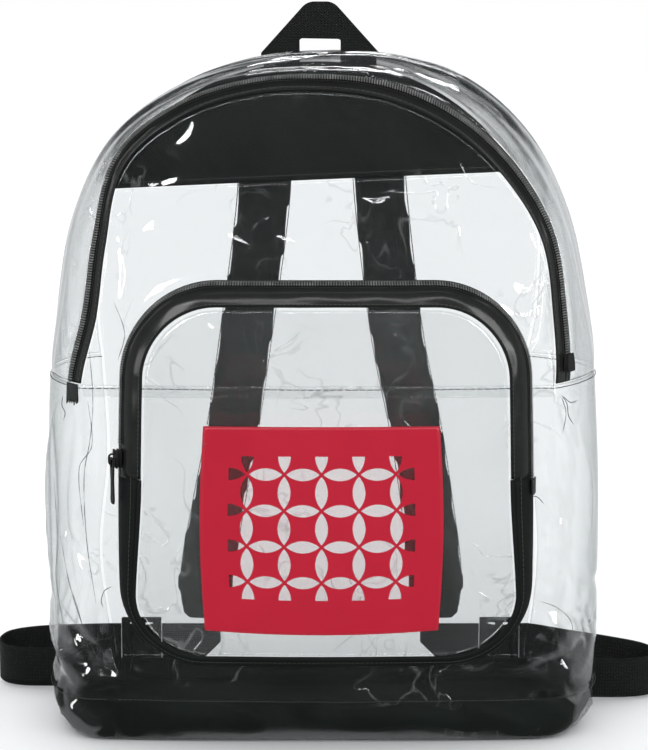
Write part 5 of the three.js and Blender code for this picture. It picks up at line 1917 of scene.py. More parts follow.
@dataclass
class FrontPocket:
    """The pocket: clear face, print, zip round the top and black band round the bottom."""

    form: BagForm
    pocket: PocketForm
    finishes: Finishes
    sewing: Sewing
    tape_wall: float = 0.9
    print_size: tuple[float, float] = (134.0, 119.0)
    print_bottom: float = 75.0
    print_centre: float = 1.0
    print_bow: float = 2.5
    slider_height: float = 172.5
    pull_length: float = 26.0
    face_folds: tuple[Fold, ...] = (
        Fold(((-64, 0, 251), (-56, 0, 247), (-47, 0, 242)), 2.2, 3.6, 1.4),
        Fold(((-78, 0, 188), (-70, 0, 184), (-60, 0, 184)), 1.8, 3.0, 1.4),
        Fold(((-92, 0, 92), (-84, 0, 76), (-74, 0, 60), (-70, 0, 54)), 2.4, 3.6, 1.3),
        Fold(((-98, 0, 112), (-96, 0, 90), (-88, 0, 66)), -2.2, 3.6, 1.5),
        Fold(((-101, 0, 150), (-102, 0, 118), (-98, 0, 92)), 1.6, 3.0, 1.4),
        Fold(((-90, 0, 130), (-84, 0, 122), (-80, 0, 112)), 1.8, 3.2, 1.3),
        Fold(((74, 0, 112), (92, 0, 124), (104, 0, 138)), 2.4, 7.0, 1.6),
        Fold(((82, 0, 100), (98, 0, 104), (110, 0, 120)), -1.8, 6.0, 1.6),
        Fold(((100, 0, 196), (105, 0, 168), (101, 0, 138)), 1.8, 5.0, 1.5),
        Fold(((50, 0, 226), (70, 0, 222), (88, 0, 210)), 1.4, 5.0, 1.5),
        Fold(((-30, 0, 250), (10, 0, 252), (60, 0, 249)), 1.2, 3.6, 1.5),
        Fold(((60, 0, 62), (84, 0, 66), (98, 0, 84)), 1.8, 4.0, 1.4),
        Fold(((-60, 0, 58), (-20, 0, 56), (40, 0, 58)), 1.2, 3.6, 1.5),
    )

    def face(self) -> None:
        """The clear face."""
        pocket = self.pocket
        upper, lower = pocket.band_line(True, 1.0), pocket.band_line(False, 1.0)
        edge = np.concatenate([upper, lower[::-1][1:-1]])
        edge = resampled(np.concatenate([edge, edge[:1]]), 321)[:-1]
        centre = np.array([pocket.centre, 0, pocket.bottom + pocket.height / 2])
        rings = []
        rim_size = 1 - self.form.crease_gap / pocket.half_width
        for size in np.concatenate([[rim_size], np.linspace(0.97, 0.02, 46), [0.0]]):
            ring = centre + (edge - centre) * size
            ring[:, 1] = pocket.face_y(ring[:, 0], ring[:, 2])
            rings.append(ring)
        grid = np.array(rings)
        rim = np.arange(len(grid))[:, None] + 0 * grid[..., 0]
        noise = Noise(101)
        lift = 0.8 * noise.at(grid / 60 + 4.4) + 0.22 * noise.at(grid / 22 + 8.8)
        lift += 0.5 * noise.ridges(grid / [34, 34, 52] + 21.3) * ease(-0.1, 0.5, noise.at(grid / 80 + 3.1))
        lift *= ease(0, 5, rim) * (1 - 0.85 * self.over_print(grid))
        for fold in self.face_folds:
            lift += fold.lift(grid * [1, 0, 1]) * ease(0, 5, rim)
        grid[..., 1] -= lift
        obj = shell(
            "pocket_sheet",
            self.form.moved(grid),
            0.5,
            looped=True,
            normals=np.tile([0.0, -1.0, 0.0], (*grid.shape[:2], 1)),
        )
        dressed(obj, self.finishes.pocket_vinyl, ["pocket_face"])

    def over_print(self, grid: Array) -> Array:
        """1 where the print lies, fading to 0 round it."""
        x, z = grid[..., 0], grid[..., 2]
        across = np.abs(x - self.print_centre) - self.print_size[0] / 2 - 4
        up = np.abs(z - self.print_bottom - self.print_size[1] / 2) - self.print_size[1] / 2 - 4
        return (1 - ease(0, 10, across)) * (1 - ease(0, 10, up))

    def print_panel(self) -> None:
        """The printed panel, lying on the face."""
        across = np.linspace(-1, 1, 60)[None]
        up = np.linspace(0, 1, 52)[:, None]
        bow = self.print_bow * np.sin(np.pi * up)
        x = self.print_centre + across * (self.print_size[0] / 2 + bow)
        z = self.print_bottom + up * self.print_size[1] - self.print_bow * (1 - across**2) * (1 - up)
        noise = Noise(101)
        grid = np.stack([x, 0 * x, z + 0 * x], -1)
        lift = 0.12 * (0.8 * noise.at(grid / 60 + 4.4))
        grid[..., 1] = self.pocket.face_y(x, z) - 1.2 - lift
        uv = np.stack([across * self.print_size[0] / 2 + 0 * up, up * self.print_size[1] + 0 * across], -1)
        normals = np.tile([0.0, -1.0, 0.0], (*grid.shape[:2], 1))
        obj = shell("printed_panel", self.form.moved(grid), 0.35, uv=uv, normals=normals)
        dressed(obj, self.finishes.print, ["pocket_print"])

    def track(self, upper: bool, place: float, reach: float = 0.06) -> Track:
        """Track along the pocket's edge band at a share of its width."""
        first = self.pocket.band_line(upper, place - reach)
        second = self.pocket.band_line(upper, place + reach)
        middle = np.array([self.pocket.centre, 0, self.pocket.bottom + self.pocket.height / 2])
        return Track.between(first, second, (first + second) / 2 - middle)

    def bands(self) -> None:
        """Zip tapes over the top and the black band under the bottom."""
        pocket, split = self.pocket, self.form.seam_gap / 2 / self.pocket.proud
        plan = (
            (
                "pocket_tape_bag",
                True,
                0.0,
                pocket.coil_place - split,
                self.finishes.tape,
                "pocket_zip_tape_bag",
            ),
            (
                "pocket_tape_face",
                True,
                pocket.coil_place + split,
                0.97,
                self.finishes.tape,
                "pocket_zip_tape_face",
            ),
            ("pocket_band", False, 0.0, 0.92, self.finishes.fabric, "pocket_gusset"),
        )
        for seed, (name, upper, low, high, material, node) in enumerate(plan):
            grid = pocket.band(upper, low, high, 9)
            rumple = Rumple(111 + seed, swell=0.5, swell_size=24, dent=0.18, dent_size=9, edge=1.5)
            obj = shell(name, self.form.moved(rumple.on(grid)), self.tape_wall)
            slot = "black_fabric" if name == "pocket_band" else "black_tape"
            dressed(obj, material, [node])

    def zip_parts(self) -> None:
        """Teeth, raw end and stitches of the pocket's zip."""
        pocket, form = self.pocket, self.form
        track = self.track(True, pocket.coil_place, 0.12).raised(self.tape_wall / 2 + 0.35)
        left = np.arange(len(track.points)) < len(track.points) / 2
        keep = ~left | (track.points[:, 2] > self.slider_height + 6)
        self.sewing.teeth("pocket_teeth", track.part(keep), "pocket_zip_coil", 121)
        self.sewing.row("pocket_stitches_top", self.track(True, 0.9, 0.04).raised(0.6), 123, 2.6)
        self.sewing.row("pocket_stitches_bag", self.track(True, 0.07, 0.05).raised(0.6), 124, 2.9)
        self.sewing.row("pocket_stitches_bottom", self.track(False, 0.72, 0.05).raised(0.7), 125, 2.8)
        line = np.array([pocket.band_line(False, a)[-1] for a in np.linspace(0.08, 0.42, 9)])
        down = np.linspace(0, 1, 9)[:, None]
        fray = np.random.default_rng(9).uniform(-0.8, 0.8, 9)
        grid = np.repeat(line[None], 9, axis=0)
        grid[..., 2] -= 1 + down * 9 + down**4 * fray
        grid += [1.925, -0.58, 0]
        obj = shell("pocket_zip_raw_end", form.moved(grid), self.tape_wall * 0.8)
        dressed(obj, self.finishes.tape, ["pocket_zip_tail"])

    def piping(self) -> None:
        """Black piping round the bottom of the face."""
        line = self.pocket.band_line(False, 1.0)
        line[[0, -1], 2] -= self.form.seam_gap / 2
        middle = np.array([self.pocket.centre, 0, self.pocket.bottom + self.pocket.height / 2])
        away = unit((line - middle) * [1, 0, 1])
        path = line + away * 1.3
        back = np.tile([0.0, 1.0, 0.0], (len(path), 1))
        turn = np.linspace(0, 2 * math.pi, 13)[:-1]
        profile = [(1.25 * np.cos(t), 1.25 * np.sin(t)) for t in turn]
        obj = sweep("pocket_piping_cord", self.form.moved(path), away, back, profile)
        Slider.turn_outward(obj)
        dressed(obj, self.finishes.fabric, ["pocket_piping"])

    def slider_and_pull(self) -> None:
        """The slider and its hanging pull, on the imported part's hinge."""
        hinge = next(joint for joint in frame["joints"] if joint["name"] == "pocket_pull_hinge")
        pin, axis = np.array(hinge["pos_m"]) / MM, unit(np.array(hinge["axis"]))
        out, side = np.array([-axis[1], axis[0], 0.0]), -axis
        slider = Slider().build("pocket_slider_body", pin - out * 4.8, side, out, True)
        dressed(slider, self.finishes.plastic, ["pocket_slider"])
        self.pull(pin, side, out)

    def pull(self, pin: Array, side: Array, out: Array) -> None:
        """The pull: a flat tab with a window round the bail.

        Args:
            pin: The hinge's place.
            side: Way across the tab.
            out: Way out of the tab.
        """
        half, reach, gap, length = 3.0, 4.63, 1.4, self.pull_length
        rows = [
            (1.0, half, 0.0),
            (0.4, half, 0.0),
            (-0.4, half, gap),
            (-reach, half, gap),
            (-reach - 1, half, 0.0),
            (-length * 0.5, half * 0.75, 0.0),
            (-length + 2, half, 0.0),
            (-length, half * 0.6, 0.0),
        ]
        work = bmesh.new()
        grid = []
        for z, wide, hole in rows:
            places = [-wide, -hole or -0.35 * wide, hole or 0.35 * wide, wide]
            grid.append(
                [work.verts.new((pin + side * u + np.array([0, 0, z]) - out * 0.55) * MM) for u in places]
            )
        for row in range(len(rows) - 1):
            for column in range(3):
                if row == 2 and column == 1:
                    continue
                near, far = grid[row], grid[row + 1]
                work.faces.new((near[column], near[column + 1], far[column + 1], far[column]))
        made = bmesh.ops.extrude_face_region(work, geom=list(work.faces))
        moved = [item for item in made["geom"] if isinstance(item, bmesh.types.BMVert)]
        bmesh.ops.translate(work, verts=moved, vec=Vector((out * 1.1 * MM).tolist()))
        bmesh.ops.recalc_face_normals(work, faces=work.faces)
        mesh = bpy.data.meshes.new("pull_tab")
        work.to_mesh(mesh)
        work.free()
        obj = bpy.data.objects.new("pull_tab", mesh)
        bpy.context.scene.collection.objects.link(obj)
        softened(obj, 0.25)
        dressed(obj, self.finishes.plastic, ["pocket_pull"], "pocket_pull")

    def build(self) -> None:
        """Builds the pocket."""
        self.face()
        self.print_panel()
        self.bands()
        self.zip_parts()
        self.piping()
        self.slider_and_pull()


# Handle, straps, buckles and webbing


@dataclass
class Carry:
    """Haul handle, padded straps, tabs, buckles and the adjusting webbing."""

    form: BagForm
    finishes: Finishes
    sewing: Sewing
    webbing: float = 25.0
    webbing_wall: float = 1.8
    strap_width: float = 40.0
    strap_wall: float = 9.0
    spread: float = 75.0
    handle_rise: float = 33.0
    handle_top: float = 20.0
    handle_sewn: float = 18.0
    lock_length: float = 26.0
    lock_height: float = 33.0
    tab_reach: float = 26.0
    loop_forward: float = 36.0
    floor_gap: float = 1.5

    def strip(self, name: str, path: Array, out: Array, width: float, wall: float) -> bpy.types.Object:
        """Flat webbing along a path, with rounded edges.

        Args:
            name: Name of the piece.
            path: Points of its middle, in millimetres.
            out: Way out of its face at each point.
            width: Its width.
            wall: Its thickness.

        Returns:
            The object.
        """
        run = unit(np.gradient(path, axis=0))
        across = unit(np.cross(run, out))
        half, thick = width / 2, wall / 2
        profile = [(-half + 0.5, -thick), (-half, -thick * 0.4), (-half, thick * 0.4), (-half + 0.5, thick)]
        profile += [(u, thick) for u in np.linspace(-half, half, 9)[1:-1]]
        profile += [(half - 0.5, thick), (half, thick * 0.4), (half, -thick * 0.4), (half - 0.5, -thick)]
        profile += [(u, -thick) for u in np.linspace(half, -half, 9)[1:-1]]
        obj = sweep(name, path, across, unit(out), profile)
        Slider.turn_outward(obj)
        return obj

    def plate(self, name: str, outline: Array, y: float, wall: float, round_over: float) -> bpy.types.Object:
        """Upright flat piece from an outline in x and z, with rounded edges.

        Args:
            name: Name of the piece.
            outline: Corners of the outline, in the row frame.
            y: Middle of its thickness.
            wall: Its thickness.
            round_over: How far its edges are rounded.

        Returns:
            The object.
        """
        count = len(outline)
        faces_y = (y - wall / 2, y + wall / 2)
        points = [(x, at, z) for at in faces_y for x, z in outline]
        uv = np.array([(x, z) for _ in faces_y for x, z in outline])
        faces = [list(range(count)), list(range(count, 2 * count))[::-1]]
        faces += [[i, (i + 1) % count, count + (i + 1) % count, count + i][::-1] for i in range(count)]
        obj = make_object(name, np.array(points), faces, uv)
        Slider.turn_outward(obj)
        return softened(obj, round_over)

    def handle(self) -> None:
        """The haul handle: webbing folded at 45 degrees at both upper corners, sewn to the yoke."""
        base = self.form.seam + self.form.rise
        half, top, foot = self.spread / 2, base + self.handle_rise, base - self.handle_sewn
        gap, tip = half - self.webbing, self.handle_top / 2
        radius, foot_x, foot_z = 10.5, half - 0.4, base + 1.2
        middle = (tip - 6.5, top - radius)
        reach = math.hypot(foot_x - middle[0], foot_z - middle[1])
        start = math.atan2(foot_z - middle[1], foot_x - middle[0]) + math.acos(radius / reach)
        crown = [
            (middle[0] + radius * math.cos(t), middle[1] + radius * math.sin(t))
            for t in np.linspace(start, math.radians(86), 9)
        ]
        right = [(half - 2.5, foot), (half - 2.2, base - 2.5), (half - 0.6, base - 1), (foot_x, foot_z)]
        outline = right + crown + [(-x, z) for x, z in crown[::-1]]
        outline += [(-x, z) for x, z in right[::-1]]
        slot = [
            (-gap, foot),
            (-gap - 0.4, base + 9.4),
            (-gap + 1.0, base + 10.2),
            (gap - 1.4, base + 9.8),
            (gap + 0.3, base + 9.2),
            (gap, foot),
        ]
        outline = np.array(outline[::-1] + slot[::-1])[::-1] + [self.form.shift[0], 0]
        y = self.form.back_depth + 0.6 + 0.383 + 0.35 + 1.3 + self.form.shift[1]
        obj = self.plate("handle_webbing", outline, y, 2.5, 0.6)
        dressed(obj, self.finishes.loop, ["haul_handle"])

    def strap_middle(self, side: int, up: Array) -> Array:
        """Middle of a padded strap at shares of the bag's height."""
        clear = self.form.back_depth + self.form.back_crown + 1.2 + 0.35 + self.strap_wall / 2
        out = STRAPS.at("out_left" if side < 0 else "out_right", up)
        height = self.form.seam + self.form.rise
        y = clear + self.strap_wall * STRAPS.at("behind", up)
        return np.stack([side * self.form.half_width * out, y, height * up], -1)

    def strap(self, side: int) -> None:
        """A padded shoulder strap, filled by simulation, with a stitched edge."""
        label = "left" if side < 0 else "right"
        count = 90
        up = np.linspace(0.945, 0.085, count)
        middle = self.strap_middle(side, up)
        run = unit(np.gradient(middle, axis=0))
        across = unit(np.cross(np.array([0.0, 1.0, 0.0]), run))
        deep = unit(np.cross(run, across))
        angle = np.linspace(0, 2 * math.pi, 29)[:-1]
        power = lambda v, p: np.sign(v) * np.abs(v) ** p
        profile = np.stack([0.5 * power(np.cos(angle), 0.55), 0.46 * power(np.sin(angle), 0.8)], -1)
        wide = self.strap_width * STRAPS.at("wide", up) - 1.0
        ends = 0.45 + 0.55 * ease(0, 0.05, np.minimum(up - 0.085, 0.945 - up))
        sizes = np.stack([wide, self.strap_wall * ends], -1)
        obj = sweep(f"strap_pad_{label}", self.form.moved(middle), across, deep, profile.tolist(), sizes)
        Slider.turn_outward(obj)
        self.fill(obj)
        dressed(obj, self.finishes.strap, [f"shoulder_strap_{label}"])
        inner = slice(3, -3)
        for number, edge in enumerate((-0.5, 0.5)):
            reach = np.sign(edge) * (np.abs(edge) * wide - 2.6)
            for face, sign in (("back", 1), ("front", -1)):
                line = (
                    middle + across * reach[:, None] + deep * (sign * self.strap_wall * 0.385 * ends)[:, None]
                )
                track = Track(line[inner], across[inner], sign * deep[inner])
                self.sewing.row(f"strap_stitches_{label}_{number}_{face}", track, 131 + number, 3.2)

    def fill(self, obj: bpy.types.Object, frames: int = 16, cap: float = 2.2) -> None:
        """Fills a pad by cloth simulation, with its points kept near where they began.

        Args:
            obj: The pad.
            frames: How many frames it runs.
            cap: How far a point may move, in millimetres.
        """
        finish_with(obj, ("REMESH", {"mode": "VOXEL", "voxel_size": 4 * MM, "adaptivity": 0.0}))
        start = np.empty(len(obj.data.vertices) * 3)
        obj.data.vertices.foreach_get("co", start)
        cloth = obj.modifiers.new("Fill", "CLOTH")
        cloth.settings.use_pressure = True
        cloth.settings.uniform_pressure_force = 3.0
        cloth.settings.mass = 0.15
        cloth.settings.tension_stiffness = 12
        cloth.settings.compression_stiffness = 12
        cloth.settings.bending_stiffness = 0.4
        cloth.settings.effector_weights.gravity = 0
        cloth.point_cache.frame_start, cloth.point_cache.frame_end = 1, frames
        scene = bpy.context.scene
        for number in range(1, frames + 1):
            scene.frame_set(number)
        graph = bpy.context.evaluated_depsgraph_get()
        made = bpy.data.meshes.new_from_object(obj.evaluated_get(graph), depsgraph=graph)
        end = np.empty(len(made.vertices) * 3)
        made.vertices.foreach_get("co", end)
        obj.modifiers.clear()
        scene.frame_set(1)
        step = (end - start).reshape(-1, 3)
        length = np.linalg.norm(step, axis=1, keepdims=True)
        step = step * np.minimum(1, cap * MM / np.maximum(length, 1e-9))
        obj.data.vertices.foreach_set("co", (start.reshape(-1, 3) + step).ravel())
        bpy.data.meshes.remove(made)
        finish_with(obj, ("SUBSURF", {"levels": 1, "render_levels": 1}))
        obj.data.shade_smooth()

    @property
    def web_y(self) -> float:
        """How far back the tabs, buckles and webbing start."""
        return self.form.back_depth + self.form.back_crown + 1.2 + 0.35 + self.strap_wall * 0.85

    @property
    def web_z(self) -> float:
        """Height of the tabs', buckles' and webbing's middle at the buckle."""
        return self.floor_gap + self.webbing * 0.76

    @property
    def lock_start(self) -> float:
        """Where the buckle starts, from the bag's middle."""
        return self.form.half_width * 0.47 + self.tab_reach

    def tab(self, side: int) -> None:
        """The short webbing tab between the strap's foot and the buckle."""
        label = "left" if side < 0 else "right"
        x0 = self.form.half_width * 0.47
        low, high, half = self.web_z - self.webbing / 2, self.web_z + self.webbing / 2, self.webbing / 2
        head = 402 * 0.085 - 1.2
        ring = [
            (x0 - half, head),
            (x0 - half, low + half),
            (x0, low),
            (self.lock_start, low),
            (self.lock_start, min(high, head)),
            (x0 + half, min(high, head)),
        ]
        outline = np.array([(side * x + self.form.shift[0], z) for x, z in ring])
        obj = self.plate(f"tab_webbing_{label}", outline, self.web_y + self.form.shift[1], 1.6, 0.35)
        dressed(obj, self.finishes.webbing, [f"strap_tab_{label}"])
        out = np.tile([0.0, 1.0, 0.0], (12, 1))
        x = np.linspace(x0 - half + 3, x0 + half - 3, 12)
        for number, z in enumerate((head - 3, head - 8)):
            line = np.stack([side * x, 0 * x + self.web_y + 0.95, 0 * x + z], -1)
            self.sewing.row(f"tab_stitches_{label}_{number}", Track(line, out, out), 141 + number, 2.6)

    def lock(self, side: int) -> None:
        """The plain two-slot buckle."""
        label = "left" if side < 0 else "right"
        start, bar = self.lock_start + 0.35, (self.lock_length - 10) / 3
        low = max(self.web_z - self.lock_height / 2, 0.6)
        x = start + np.array([0, bar, bar + 5, 2 * bar + 5, 2 * bar + 10, self.lock_length])
        rim = (self.lock_height - self.webbing) / 2 - 0.9
        z = low + np.array([0, rim, self.lock_height - rim, self.lock_height])
        work = bmesh.new()
        face_y = self.web_y - 1.9
        grid = [[work.verts.new((self.form.moved([side * a, face_y, b]) * MM)) for b in z] for a in x]
        for i in range(5):
            for j in range(3):
                if j == 1 and i in (1, 3):
                    continue
                work.faces.new((grid[i][j], grid[i + 1][j], grid[i + 1][j + 1], grid[i][j + 1]))
        made = bmesh.ops.extrude_face_region(work, geom=list(work.faces))
        moved = [item for item in made["geom"] if isinstance(item, bmesh.types.BMVert)]
        bmesh.ops.translate(work, verts=moved, vec=(0, 3.8 * MM, 0))
        bmesh.ops.recalc_face_normals(work, faces=work.faces)
        mesh = bpy.data.meshes.new(f"buckle_{label}")
        work.to_mesh(mesh)
        work.free()
        obj = bpy.data.objects.new(f"buckle_{label}", mesh)
        bpy.context.scene.collection.objects.link(obj)
        softened(obj, 0.8, 3)
        dressed(obj, self.finishes.plastic, [f"ladder_lock_{label}"])
        run = np.linspace(0.4, self.lock_length - 0.4, 60)
        weave = 2.75 * np.cos(np.pi * (run - bar / 2) / (bar + 5))
        path = np.stack([side * (start + run), self.web_y + weave, 0 * run + self.web_z], -1)
        out = np.stack([0 * run, 0 * run + 1, 0 * run], -1)
        through = self.strip(f"buckle_webbing_{label}", self.form.moved(path), out, self.webbing - 1.2, 1.1)
        dressed(through, self.finishes.webbing)

    def loop(self, side: int, beyond: float) -> None:
        """The adjusting webbing: out of the buckle, round an open loop and back to the side seam.

        Args:
            side: -1 left, 1 right.
            beyond: How far the loop reaches beyond the bag's half width.
        """
        label = "left" if side < 0 else "right"
        start = self.lock_start + 0.35 + self.lock_length + 0.35
        reach = self.form.half_width + beyond - start - self.webbing_wall / 2
        half = self.webbing / 2
        row = np.arange(8)
        forward = LOOPS.at("forward_left" if side < 0 else "forward_right", row)
        points = np.stack(
            [
                side * (start + LOOPS.at("out", row) * reach),
                self.web_y - forward * self.loop_forward,
                self.floor_gap + half + LOOPS.at("lift", row) * self.webbing,
            ],
            -1,
        )
        rib = self.form.side_ribs(side, np.array([self.webbing]), 60)[0]
        sewn = rib[np.argmin(np.abs(rib[:, 1] - points[-1, 1]))]
        end = [sewn[0] + side * 1.475, points[-1, 1], points[-1, 2]]
        path = curve_through([*map(tuple, points), tuple(end)], 90)
        run = unit(np.gradient(path, axis=0) * [1, 1, 0])
        out = np.stack([-run[:, 1], run[:, 0], 0 * run[:, 0]], -1)
        obj = self.strip(f"loop_webbing_{label}", self.form.moved(path), out, self.webbing, self.webbing_wall)
        dressed(obj, self.finishes.loop, [f"strap_webbing_{label}"])

    def build(self) -> None:
        """Builds everything that carries."""
        self.handle()
        for side, beyond in ((-1, 42.0), (1, 47.0)):
            self.strap(side)
            self.tab(side)
            self.lock(side)
            self.loop(side, beyond)


# Seams


LINE_SECTION = [(math.cos(t), math.sin(t)) for t in np.linspace(0, 2 * math.pi, 7)[:-1]]


def fine_line(name: str, path: Array, radius: float) -> bpy.types.Object:
    """A thin round line along a path in the row frame, thinner towards its ends."""
    run = unit(np.gradient(path, axis=0))
    guide = np.where(np.abs(run[:, 1:2]) > 0.8, [1.0, 0.0, 0.0], [0.0, 1.0, 0.0])
    across = unit(np.cross(run, guide))
    out = np.cross(across, run)
    share = np.linspace(0, 1, len(path))
    size = radius * (0.35 + 0.65 * ease(0, 0.15, np.minimum(share, 1 - share)))
    obj = sweep(name, path, across, out, LINE_SECTION, np.stack([size, size], -1))
    Slider.turn_outward(obj)
    return obj


@dataclass(frozen=True)
class CreaseShadePaint:
    """Painted shade: dark lines along sharp creases pressed into clear vinyl."""

    name: str = "vinyl crease"

    def build(self) -> bpy.types.Material:
        """Builds the material."""
        shade = Shade(self.name)
        # Painted shade: a dark share that comes and goes along each line, mixed over a clear base.
        shade_breaks = shade.noise(shade.place(False), 130.0, 2.0).ramp(0.32, 0.62)
        painted_shade = shade.principled(Base_Color=(0.03, 0.034, 0.033), Roughness=0.25)
        clear = shade.node("ShaderNodeBsdfTransparent", {}, {"Color": (0.9, 0.91, 0.91)})
        return shade.done(shade.node("ShaderNodeMixShader", {}, {0: shade_breaks * 0.4 + 0.06, 1: clear, 2: painted_shade}))


@dataclass
class CreaseShadeAndThreads:
    """Dark lines of painted shade along sharp creases of the clear sheets, and loose thread ends."""

    form: BagForm
    finishes: Finishes
    # Paths of the dark lines of painted shade along the creases.
    creases: tuple[tuple[Point, ...], ...] = (
        (
            (-133, -63, 238),
            (-131, -64, 205),
            (-133, -63, 182),
            (-137, -62, 160),
            (-136, -62, 120),
            (-131, -64, 84),
        ),
        ((-134, -63, 204), (-132, -64, 178), (-140, -60, 164), (-138, -61, 130)),
        ((-154, -42, 120), (-148, -50, 92), (-140, -58, 70), (-128, -65, 44)),
        ((-150, -46, 96), (-142, -56, 76), (-136, -60, 52)),
        ((-158, -34, 150), (-156, -40, 116), (-158, -34, 92), (-152, -46, 62)),
        ((-118, -66, 66), (-110, -67, 54), (-112, -67, 42)),
        ((140, -59, 206), (143, -57, 196), (141, -58, 184)),
        ((128, -65, 86), (140, -59, 80), (150, -47, 66), (146, -52, 48)),
        ((147, -52, 60), (152, -46, 44), (148, -50, 34)),
        ((-118, -65, 262), (-112, -66, 244), (-116, -66, 228)),
    )
    threads: tuple[tuple[Point, ...], ...] = (
        ((-150, -52, 205), (-150, -56, 200), (-148, -58, 196), (-149, -58, 192)),
        ((140, -60, 207), (143, -62, 202), (144, -63, 195), (147, -63, 190)),
        ((141, -60, 206), (145, -63, 203), (149, -63, 204)),
        ((-121, -72, 96), (-125, -74, 94), (-127, -74, 88), (-126, -74, 84)),
        ((120, -74, 150), (125, -76, 150), (129, -76, 146)),
    )

    def build(self) -> None:
        """Builds every line."""
        finish = CreaseShadePaint().build()
        for number, points in enumerate(self.creases):
            # Each crease piece is a thin dark tube of painted shade.
            path = curve_through([(x, y - 1.2, z) for x, y, z in points], 40)
            obj = fine_line(f"crease_{number}", self.form.moved(path), 0.28)
            dressed(obj, finish)
        for number, points in enumerate(self.threads):
            obj = fine_line(f"loose_thread_{number}", self.form.moved(curve_through(points, 24)), 0.22)
            dressed(obj, self.finishes.thread)


@dataclass
class Seams:
    """The stitched seams of the sheets: rows of stitches at the cross seam, the base and the yoke."""

    form: BagForm
    finishes: Finishes
    sewing: Sewing

    def level(self, name: str, z: float, lift: float, seed: int, **sizes: float) -> None:
        """A row of stitches round the front and both sides at a height.

        Args:
            name: Name of the row.
            z: The height.
            lift: How far out of the sheet it lies.
            seed: Seed of its unevenness.
            sizes: Sizes of its stitches.
        """
        line = self.form.lower_rows(np.array([z]), 60, 160)[0]
        noise = Noise(seed)
        line[:, 2] += 0.35 * noise.at(line / 26)
        out = unit(line * [1, 1, 0])
        front = np.abs(line[:, 1] - self.form.front_y(line[:, 0], line[:, 2])) < 0.5
        out = np.where(front[:, None], [0.0, -1.0, 0.0], unit(line * [1, 0.4, 0]))
        self.sewing.row(name, Track(line + out * lift, out, out), seed, **sizes)

    def build(self) -> None:
        """Builds the seams."""
        form = self.form
        self.level("cross_seam_stitches", form.seam - 2.2, 0.9, 151, pitch=4.2, share=0.8, thick=0.55)
        self.level("base_seam_stitches", form.base_front - 1.2, 0.8, 153, pitch=3.0, share=0.7, thick=0.5)
        left, right = (form.back_edge(side, np.array([1.0]))[0] for side in (-1, 1))
        across = np.linspace(0.03, 0.97, 60)[:, None]
        line = left * (1 - across) + right * across
        line[:, 1] = form.back_depth + form.back_crown * np.sin(np.pi * across[:, 0]) - 0.9
        line[:, 2] += 4
        out = np.tile([0.0, -1.0, 0.0], (60, 1))
        self.sewing.row("yoke_stitches", Track(line, out, out), 155, 3.2)


# Studio


